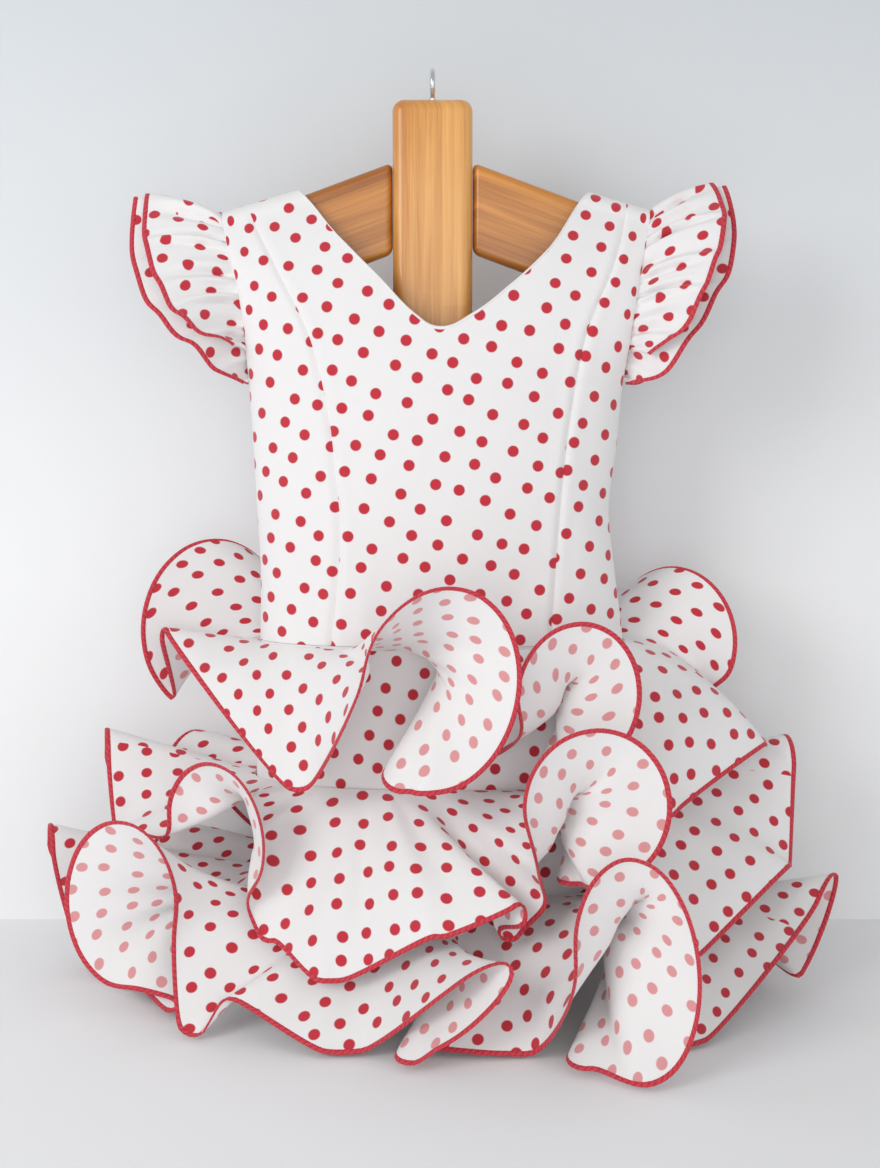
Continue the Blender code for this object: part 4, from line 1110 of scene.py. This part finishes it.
class DRESS_OT_bodice(bpy.types.Operator):
    """Sew the centre front, side fronts and backs"""

    bl_idname = "dress.bodice"
    bl_label = "Sew the bodice"

    def execute(self, context):
        left, right = side_line("left", -1.0), side_line("right", 1.0)
        left_seam, right_seam = princess_line("left", -1.0), princess_line("right", 1.0)
        even = [math.sin(math.pi / 2 * i / SIDE_STEPS) for i in range(SIDE_STEPS + 1)]
        mirrored = [1.0 - s for s in reversed(even)]
        back_mirrored = [1.0 - s for s in reversed(BACK_SHARES)]
        # Each row ends with the shift that gives the panel its own place on the printed cloth
        panels = (
            ("centre_front", "front", left_seam, right_seam, CENTRE_SHARES, (True, True), 0.0),
            ("side_front_left", "front", left, left_seam, mirrored, (False, True), 205.0),
            ("side_front_right", "front", right_seam, right, even, (True, False), 411.0),
            ("back_left", "back", left, straight_line, back_mirrored, (False, True), 617.0),
            ("back_right", "back", straight_line, right, BACK_SHARES, (True, False), 823.0),
        )
        for name, face, one, two, shares, grooves, shift in panels:
            grid = bodice_grid(face, one, two, refine(shares, FINE_PANEL), grooves)
            cut = panel_cut(grid, shift)
            normal = grid_normals(grid)
            if face == "front":
                normal = -normal
            obj = shell(name, grid, cut, dotted_cloth(), "dotted_cloth", normal)
            if name in ROLLED_PANELS:
                neck_roll("neck_edge_" + name, grid)
            declare(obj)
        return {"FINISHED"}


class DRESS_OT_skirt_base(bpy.types.Operator):
    """Sew the straight base that the tiers hang from"""

    bl_idname = "dress.skirt_base"
    bl_label = "Sew the skirt base"

    def execute(self, context):
        heights = np.linspace(SKIRT_HEIGHTS[0], SKIRT_HEIGHTS[-1], FINE_SKIRT_ROWS + 1)
        for name, middle in (("skirt_base_front", 0.0), ("skirt_base_back", 180.0)):
            grid = []
            for i in range(-FINE_SKIRT_STEPS, FINE_SKIRT_STEPS + 1):
                heading = middle + 90.0 * math.sin(math.pi / 2 * i / FINE_SKIRT_STEPS)
                grid.append([skirt_point(heading, z)[0] for z in heights])
            grid = np.array(grid)
            across = travelled(grid[:, -1]) + middle * BASE_SHIFT
            cut = np.stack(np.broadcast_arrays(across[:, None], grid[:, :, 2]), axis=-1)
            obj = shell(name, grid, cut, dotted_cloth(), "dotted_cloth", -grid_normals(grid))
            declare(obj)
        return {"FINISHED"}


def flounce_cut(grid):
    """Flat coordinates of a flounce cut as rings round a small circle."""
    step = np.linalg.norm(np.diff(grid, axis=1), axis=2)
    radius = CUT_INNER_RADIUS + np.concatenate((np.zeros((len(grid), 1)), np.cumsum(step, axis=1)), axis=1)
    edge = np.linalg.norm(np.diff(grid[:, -1], axis=0), axis=1)
    turn = np.concatenate(((0.0,), np.cumsum(2.0 * edge / (radius[1:, -1] + radius[:-1, -1]))))[:, None]
    return np.stack((radius * np.cos(turn), radius * np.sin(turn)), axis=-1)


def flute_path(start, throat, edge, v):
    """The way from the seam through a flute's throat to its edge."""
    near = v < 0.5
    t = np.where(near, 2 * v, 2 * v - 1)
    slope = (edge - start) / 2
    here, there = np.where(near, start, throat), np.where(near, throat, edge)
    leave, arrive = np.where(near, throat - start, slope), np.where(near, slope, edge - throat)
    reach = here + (there - here) * t * t * (3 - 2 * t)
    return reach + leave * t * (1 - t) ** 2 - arrive * t * t * (1 - t)


def tier_grid(name, folds, anchors, seam_z, lift, columns, rows):
    """Grid of a whole tier, from its back-left round to the same place, seam to edge."""
    curve, heading, drawn = tier_edge(name, folds, anchors)
    closed = np.vstack((curve, curve[:1]))
    drawn = np.vstack((drawn, drawn[:1]))
    heading = np.append(heading, heading[0] + 360.0)
    travel = travelled(closed)
    stations = np.linspace(0.0, travel[-1], columns + 1)
    turns = seam_heading(np.interp(stations, travel, heading), seam_z)
    edge = np.stack([np.interp(stations, travel, closed[:, k]) for k in range(3)], axis=1)
    throat = np.stack([np.interp(stations, travel, drawn[:, k]) for k in range(3)], axis=1)
    hold = np.interp(stations, travel, drawn[:, 3])[:, None]
    loose = throat * (1 - hold) + edge * hold
    pairs = [skirt_point(turn, seam_z, TIER_STANDOFF) for turn in turns]
    start = np.array([pair[0] for pair in pairs])
    out = np.array([pair[1] for pair in pairs])
    span = np.linalg.norm(edge - start, axis=1, keepdims=True)
    middle = (start + loose) / 2 + np.array((0.0, 0.0, lift)) * span + out * TIER_BULGE * span
    v = np.linspace(0.0, 1.0, rows + 1)[None, :, None]
    free = (1 - v) ** 2 * start[:, None] + 2 * v * (1 - v) * middle[:, None] + v ** 2 * edge[:, None]
    firm = flute_path(start[:, None], throat[:, None], edge[:, None], v)
    return free * (1 - hold[:, None]) + firm * hold[:, None], np.interp(stations, travel, heading)


def settle(grid, passes):
    """Even out a tier's cloth round its seam, most at the seam and none at its edge."""
    rows = grid.shape[1] - 1
    for r in range(1, rows):
        for _ in range(round(passes * (1.0 - r / rows) ** 2)):
            ring = grid[:-1, r]
            ring = ring * 0.5 + (np.roll(ring, 1, axis=0) + np.roll(ring, -1, axis=0)) * 0.25
            grid[:, r] = np.vstack((ring, ring[:1]))
    return grid


def rippled(grid, normal, heading, name):
    """Push soft ripples and creases into a tier between its seam and its edge."""
    along = np.linspace(0.0, 2.0 * math.pi, len(grid))[:, None, None]
    down = np.linspace(0.0, 1.0, grid.shape[1])[None, :, None]
    push = np.zeros((len(grid), 1, 1))
    for row in rows_of(TIER_RIPPLES, RIPPLE_COLUMNS):
        if row["tier"] == name:
            push = push + row["depth"] * np.sin(row["count"] * along + row["phase"] + down)
    soft = grid + normal * push * np.sin(math.pi * down) ** 2
    for row in rows_of(TIER_CREASES, TIER_CREASE_COLUMNS):
        if row["tier"] == name:
            off = (heading[:, None, None] - row["heading"]) / row["width"]
            soft = soft + normal * row["depth"] * np.exp(-off ** 2) * np.sin(math.pi * down ** row["lean"])
    return soft


class DRESS_OT_tiers(bpy.types.Operator):
    """Sew the ruffle tiers with their overlocked edging"""

    bl_idname = "dress.tiers"
    bl_label = "Sew the ruffle tiers"

    def execute(self, context):
        tiers = (("tier_1", TIER_1, TIER_1_ANCHORS, TIER_1_Z), ("tier_2", TIER_2, TIER_2_ANCHORS, TIER_2_Z),
                 ("tier_3", TIER_3, TIER_3_ANCHORS, TIER_3_Z))
        for (name, table, anchors, seam_z), lift in zip(tiers, TIER_LIFTS):
            folds = rows_of(table, FOLD_COLUMNS)
            grid, heading = tier_grid(name, folds, anchors, seam_z, lift,
                                      TIER_COLUMNS * FINE_TIER, FINE_TIER_ROWS)
            grid = settle(grid, SEAM_SMOOTHING * FINE_TIER ** 2)
            grid = rippled(grid, -grid_normals(grid, closed=True), heading, name)
            normal = -grid_normals(grid, closed=True)
            cut = flounce_cut(grid)
            first = int(np.argmin(abs(heading + 90.0)))
            last = int(np.argmin(abs(heading - 90.0)))
            front = np.arange(first, last + 1)
            back = np.concatenate((np.arange(last, len(grid) - 1), np.arange(0, first + 1)))
            for piece, picked in (("_front", front), ("_back", back)):
                cloth, out = grid[picked], normal[picked]
                flat = cut[picked] if piece == "_front" else flounce_cut(cloth)
                obj = shell(name + piece, cloth, flat, dotted_cloth(), "ruffle_cloth", out)
                trim = overlock(name + piece + "_edging", cloth[:, -1], cloth[:, -2], out[:, -1])
                declare(obj)
        return {"FINISHED"}


def armhole_point(side, sign, face, share):
    """A place on the armhole seam, from its foot to the shoulder."""
    low = ARMHOLE_FOOT_Z + SLEEVE_FOOT_RISE
    z = low + (ARMHOLE_TOP_Z - low) * share
    x = sign * read(BODICE_SECTIONS, SECTION_COLUMNS, "z", z, side)
    depth = max(bodice_depth(x, z, face), SEAM_GAP)
    return np.array((x, -depth if face == "front" else depth, z))


def sleeve_grid(table, side, sign, lower):
    """One sleeve ruffle, from the front foot of the armhole over to the back."""
    grid = []
    for i in range(FINE_SLEEVE_STEPS + 1):
        t = i / FINE_SLEEVE_STEPS
        face = "front" if t <= 0.5 else "back"
        foot = table[0][0]
        share = foot + (1.0 - foot) * (1.0 - abs(1.0 - 2.0 * t))
        start = armhole_point(side, sign, face, share)
        out, reach, z = (read(table, SLEEVE_COLUMNS, "share", share, k) for k in ("out", "front", "z"))
        y = -reach if face == "front" else reach * 0.9
        wave = SLEEVE_WAVE_SHOWN * math.sin(2 * math.pi * SLEEVE_WAVES * t) * min(1.0, 4 * share + 0.2)
        z = z + lower * UNDER_TIP_RISE[side] * share ** 4
        edge = np.array((sign * out, y, z + wave))
        turn = math.pi / 2 * share ** 2
        inward = math.copysign(math.cos(turn), -start[1])
        start = start + lower * SLEEVE_LAYER_GAP * np.array((0.0, inward, -math.sin(turn)))
        span = np.linalg.norm(edge - start)
        middle = (start + edge) / 2 + np.array((sign * 0.08 * span, 0.0, (0.14 - 0.06 * lower) * span))
        v = np.linspace(0.0, 1.0, FINE_SLEEVE_ROWS + 1)[:, None]
        grid.append((1 - v) ** 2 * start + 2 * v * (1 - v) * middle + v ** 2 * edge)
    return np.array(grid)


def gathered(grid, lower):
    """Gathers that fan out from a sleeve ruffle's seam."""
    along = np.linspace(0.0, 1.0, len(grid))[:, None, None]
    down = np.linspace(0.0, 1.0, grid.shape[1])[None, :, None]
    turn = 2 * math.pi * SLEEVE_GATHERS * (along + 0.012 * np.sin(31.0 * along))
    wave = np.sin(turn) + 0.5 * np.sin(1.6 * turn + 1.0)
    depth = SLEEVE_GATHER_DEPTH * (1.0 - 0.45 * lower) * np.sin(math.pi * down ** 0.6) * (1.0 - 0.55 * down)
    return grid + grid_normals(grid) * wave * depth


class DRESS_OT_sleeves(bpy.types.Operator):
    """Sew the double ruffles of the sleeves with their edging"""

    bl_idname = "dress.sleeves"
    bl_label = "Sew the sleeve ruffles"

    def execute(self, context):
        layers = (
            ("sleeve_left_top", SLEEVE_TOP_LEFT, "left", -1.0, 0),
            ("sleeve_left_under", SLEEVE_UNDER_LEFT, "left", -1.0, 1),
            ("sleeve_right_top", SLEEVE_TOP_RIGHT, "right", 1.0, 0),
            ("sleeve_right_under", SLEEVE_UNDER_RIGHT, "right", 1.0, 1),
        )
        for name, table, side, sign, lower in layers:
            grid = gathered(sleeve_grid(table, side, sign, lower), lower)
            normal = grid_normals(grid) * -sign
            along = travelled(grid[:, -1])
            down = np.concatenate((np.zeros((len(grid), 1)), np.cumsum(
                np.linalg.norm(np.diff(grid, axis=1), axis=2), axis=1)), axis=1)
            cut = np.stack((np.repeat(along[:, None], grid.shape[1], axis=1), down), axis=-1)
            obj = shell(name, grid, cut, dotted_cloth(), "ruffle_cloth", normal)
            trim = overlock(name + "_edging", grid[:, -1], grid[:, -2], normal[:, -1])
            declare(obj)
        return {"FINISHED"}


def board(name, outline, depth, round_edge, slope):
    """A flat beech board from an outline in the X-Z plane, with rounded edges."""
    bm = bmesh.new()
    face = bm.faces.new([bm.verts.new(frame_point((x, -depth / 2, z))) for x, z in outline])
    push = bmesh.ops.extrude_face_region(bm, geom=[face])
    moved = [item for item in push["geom"] if isinstance(item, bmesh.types.BMVert)]
    bmesh.ops.translate(bm, verts=moved, vec=(0.0, depth / 1000.0, 0.0))
    bmesh.ops.recalc_face_normals(bm, faces=bm.faces[:])
    edges = [e for e in bm.edges if e.calc_face_angle(0.0) > math.radians(CREASE_DEG)]
    bmesh.ops.bevel(bm, geom=edges, offset=round_edge / 1000.0, segments=8, profile=0.5,
                    affect="EDGES", clamp_overlap=True)
    layer = bm.loops.layers.uv.new("Cut")
    turn = math.radians(slope)
    for piece in bm.faces:
        for corner in piece.loops:
            x, y, z = corner.vert.co
            corner[layer].uv = (x * math.cos(turn) + z * math.sin(turn) + y,
                                z * math.cos(turn) - x * math.sin(turn))
    mesh = bpy.data.meshes.new(name)
    bm.to_mesh(mesh)
    bm.free()
    mesh.materials.append(beech(slope != 0.0))
    mesh.shade_smooth()
    mesh.set_sharp_from_angle(angle=math.radians(CREASE_DEG))
    obj = bpy.data.objects.new(name + "_board", mesh)
    bpy.context.scene.collection.objects.link(obj)
    return wear(obj, "wood", name)


def wire_hook():
    """The bright wire hook, turned edge-on to the front."""
    curve = bpy.data.curves.new("hook", "CURVE")
    curve.dimensions = "3D"
    curve.bevel_depth = WIRE / 2000.0
    curve.bevel_resolution = 6
    curve.use_fill_caps = True
    centre_z = HOOK_REST + WIRE / 2 - HOOK_RADIUS
    route = [(POST_X, 0.0, POST_TOP_Z + SEAM_GAP), (POST_X, 0.0, POST_TOP_Z + WIRE)]
    for i in range(HOOK_STEPS * 4 + 1):
        a = math.radians(HOOK_BEGIN_DEG - HOOK_SWEEP_DEG * i / HOOK_STEPS / 4)
        route.append((POST_X, HOOK_RADIUS * math.cos(a), centre_z + HOOK_RADIUS * math.sin(a)))
    line = curve.splines.new("POLY")
    line.points.add(len(route) - 1)
    for point, spot in zip(line.points, route):
        point.co = (*frame_point(spot), 1.0)
    maker = bpy.data.objects.new("wire_route", curve)
    bpy.context.scene.collection.objects.link(maker)
    mesh = bpy.data.meshes.new_from_object(maker.evaluated_get(bpy.context.evaluated_depsgraph_get()))
    bpy.data.objects.remove(maker, do_unlink=True)
    mesh.materials.clear()
    mesh.materials.append(bright_wire())
    obj = bpy.data.objects.new("hook_wire", mesh)
    bpy.context.scene.collection.objects.link(obj)
    return wear(obj, "wire", "hook")


class DRESS_OT_hanger(bpy.types.Operator):
    """Make the wooden hanger and its hook"""

    bl_idname = "dress.hanger"
    bl_label = "Make the hanger"

    def execute(self, context):
        left, right = POST_X - POST_WIDTH / 2, POST_X + POST_WIDTH / 2
        corners = ((left, POST_FOOT_Z), (right, POST_FOOT_Z), (right, POST_TOP_Z), (left, POST_TOP_Z))
        board("hanger_post", corners, POST_DEPTH, POST_ROUND, 0.0)
        slope = math.tan(math.radians(ARM_SLOPE_DEG))
        drop = ARM_HEIGHT / math.cos(math.radians(ARM_SLOPE_DEG))
        for name, root, sign in (("hanger_arm_left", left, -1.0), ("hanger_arm_right", right, 1.0)):
            root += sign * SEAM_GAP
            tip = sign * ARM_REACH
            fall = abs(tip - root) * slope
            high = ARM_TOP_AT_POST_Z
            low = high - drop
            outline = (
                (root, low),
                (tip - sign * TIP_TAPER, low - fall + TIP_TAPER * slope),
                (tip, low - fall + TIP_RISE),
                (tip, high - fall - TIP_DROP),
                (tip - sign * TIP_CHAMFER, high - fall + TIP_CHAMFER * slope),
                (root, high),
            )
            board(name, outline[::int(-sign)], ARM_DEPTH, ARM_ROUND, sign * (90.0 - ARM_SLOPE_DEG))
        wire_hook()
        return {"FINISHED"}


def panel(name, corners):
    """A flat backdrop panel."""
    mesh = bpy.data.meshes.new(name)
    mesh.from_pydata(corners, [], [(0, 1, 2, 3)])
    mesh.materials.append(backdrop())
    obj = bpy.data.objects.new(name, mesh)
    bpy.context.scene.collection.objects.link(obj)
    return obj


def soft_light(name, power, size, place, target):
    """A large soft light aimed at a place."""
    data = bpy.data.lights.new(name, "AREA")
    data.shape = "SQUARE"
    data.size = size
    data.energy = power
    obj = bpy.data.objects.new(name, data)
    obj.location = place
    obj.rotation_euler = (Vector(target) - Vector(place)).to_track_quat("-Z", "Y").to_euler()
    bpy.context.scene.collection.objects.link(obj)
    return obj


class DRESS_OT_stage(bpy.types.Operator):
    """Set the backdrop, the soft light and the camera"""

    bl_idname = "dress.stage"
    bl_label = "Set the stage"

    def execute(self, context):
        stage = settings().stage
        floor_z = -HOOK_REST / 1000.0
        back = stage.wall_distance
        far = STAGE_REACH
        standing = (("wall", back, WALL_TOP), ("skirting", back - SKIRTING_DEPTH, floor_z + SKIRTING_HEIGHT))
        for name, y, top in standing:
            panel(name, ((-far, y, floor_z), (far, y, floor_z), (far, y, top), (-far, y, top)))
        panel("floor", [(x, y, floor_z) for x, y in ((-far, -far), (far, -far), (far, far), (-far, far))])
        middle = (0.0, 0.0, floor_z / 2)
        for name, size, place in LIGHTS:
            soft_light(name + "_light", getattr(stage, name + "_power"), size, place, middle)
        world = bpy.data.worlds.new("studio")
        world.use_nodes = True
        world.node_tree.nodes["Background"].inputs["Color"].default_value = (1.0, 1.0, 1.0, 1.0)
        world.node_tree.nodes["Background"].inputs["Strength"].default_value = stage.daylight
        context.scene.world = world
        context.scene.view_settings.view_transform = "Standard"
        lens = bpy.data.cameras.new("camera")
        lens.sensor_width = SENSOR_WIDTH
        lens.lens = CAMERA_LENS
        camera = bpy.data.objects.new("camera", lens)
        camera.location = CAMERA_PLACE
        camera.rotation_euler = (math.radians(CAMERA_TILT_DEG), 0.0, 0.0)
        context.scene.collection.objects.link(camera)
        context.scene.camera = camera
        return {"FINISHED"}


class DRESS_PT_sidebar(bpy.types.Panel):
    """Dress panel in the 3D view's sidebar"""

    bl_idname = "DRESS_PT_sidebar"
    bl_label = "Flamenco dress"
    bl_space_type = "VIEW_3D"
    bl_region_type = "UI"
    bl_category = "Dress"

    def draw(self, context):
        column = self.layout.column()
        for group in ("cloth", "hanger", "stage"):
            held = getattr(settings(), group)
            for key in held.bl_rna.properties.keys():
                if key not in ("rna_type", "name"):
                    column.prop(held, key)
        for step in STEPS:
            column.operator(step.bl_idname)


STEPS = (DRESS_OT_bodice, DRESS_OT_skirt_base, DRESS_OT_tiers, DRESS_OT_sleeves, DRESS_OT_hanger,
         DRESS_OT_stage)
CLASSES = (DressCloth, DressHanger, DressStage, DressSettings, *STEPS, DRESS_PT_sidebar)


def register():
    """Add the classes and the scene's settings."""
    for item in CLASSES:
        bpy.utils.register_class(item)
    bpy.types.Scene.flamenco_dress = PointerProperty(type=DressSettings)


def unregister():
    """Take the classes and the settings away again."""
    del bpy.types.Scene.flamenco_dress
    for item in reversed(CLASSES):
        bpy.utils.unregister_class(item)


def main():
    """Sew and hang the dress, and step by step."""
    register()
    bpy.ops.dress.bodice()
    bpy.ops.dress.skirt_base()
    bpy.ops.dress.tiers()
    bpy.ops.dress.sleeves()
    bpy.ops.dress.hanger()
    bpy.ops.dress.stage()


if __name__ == "__main__":
    main()
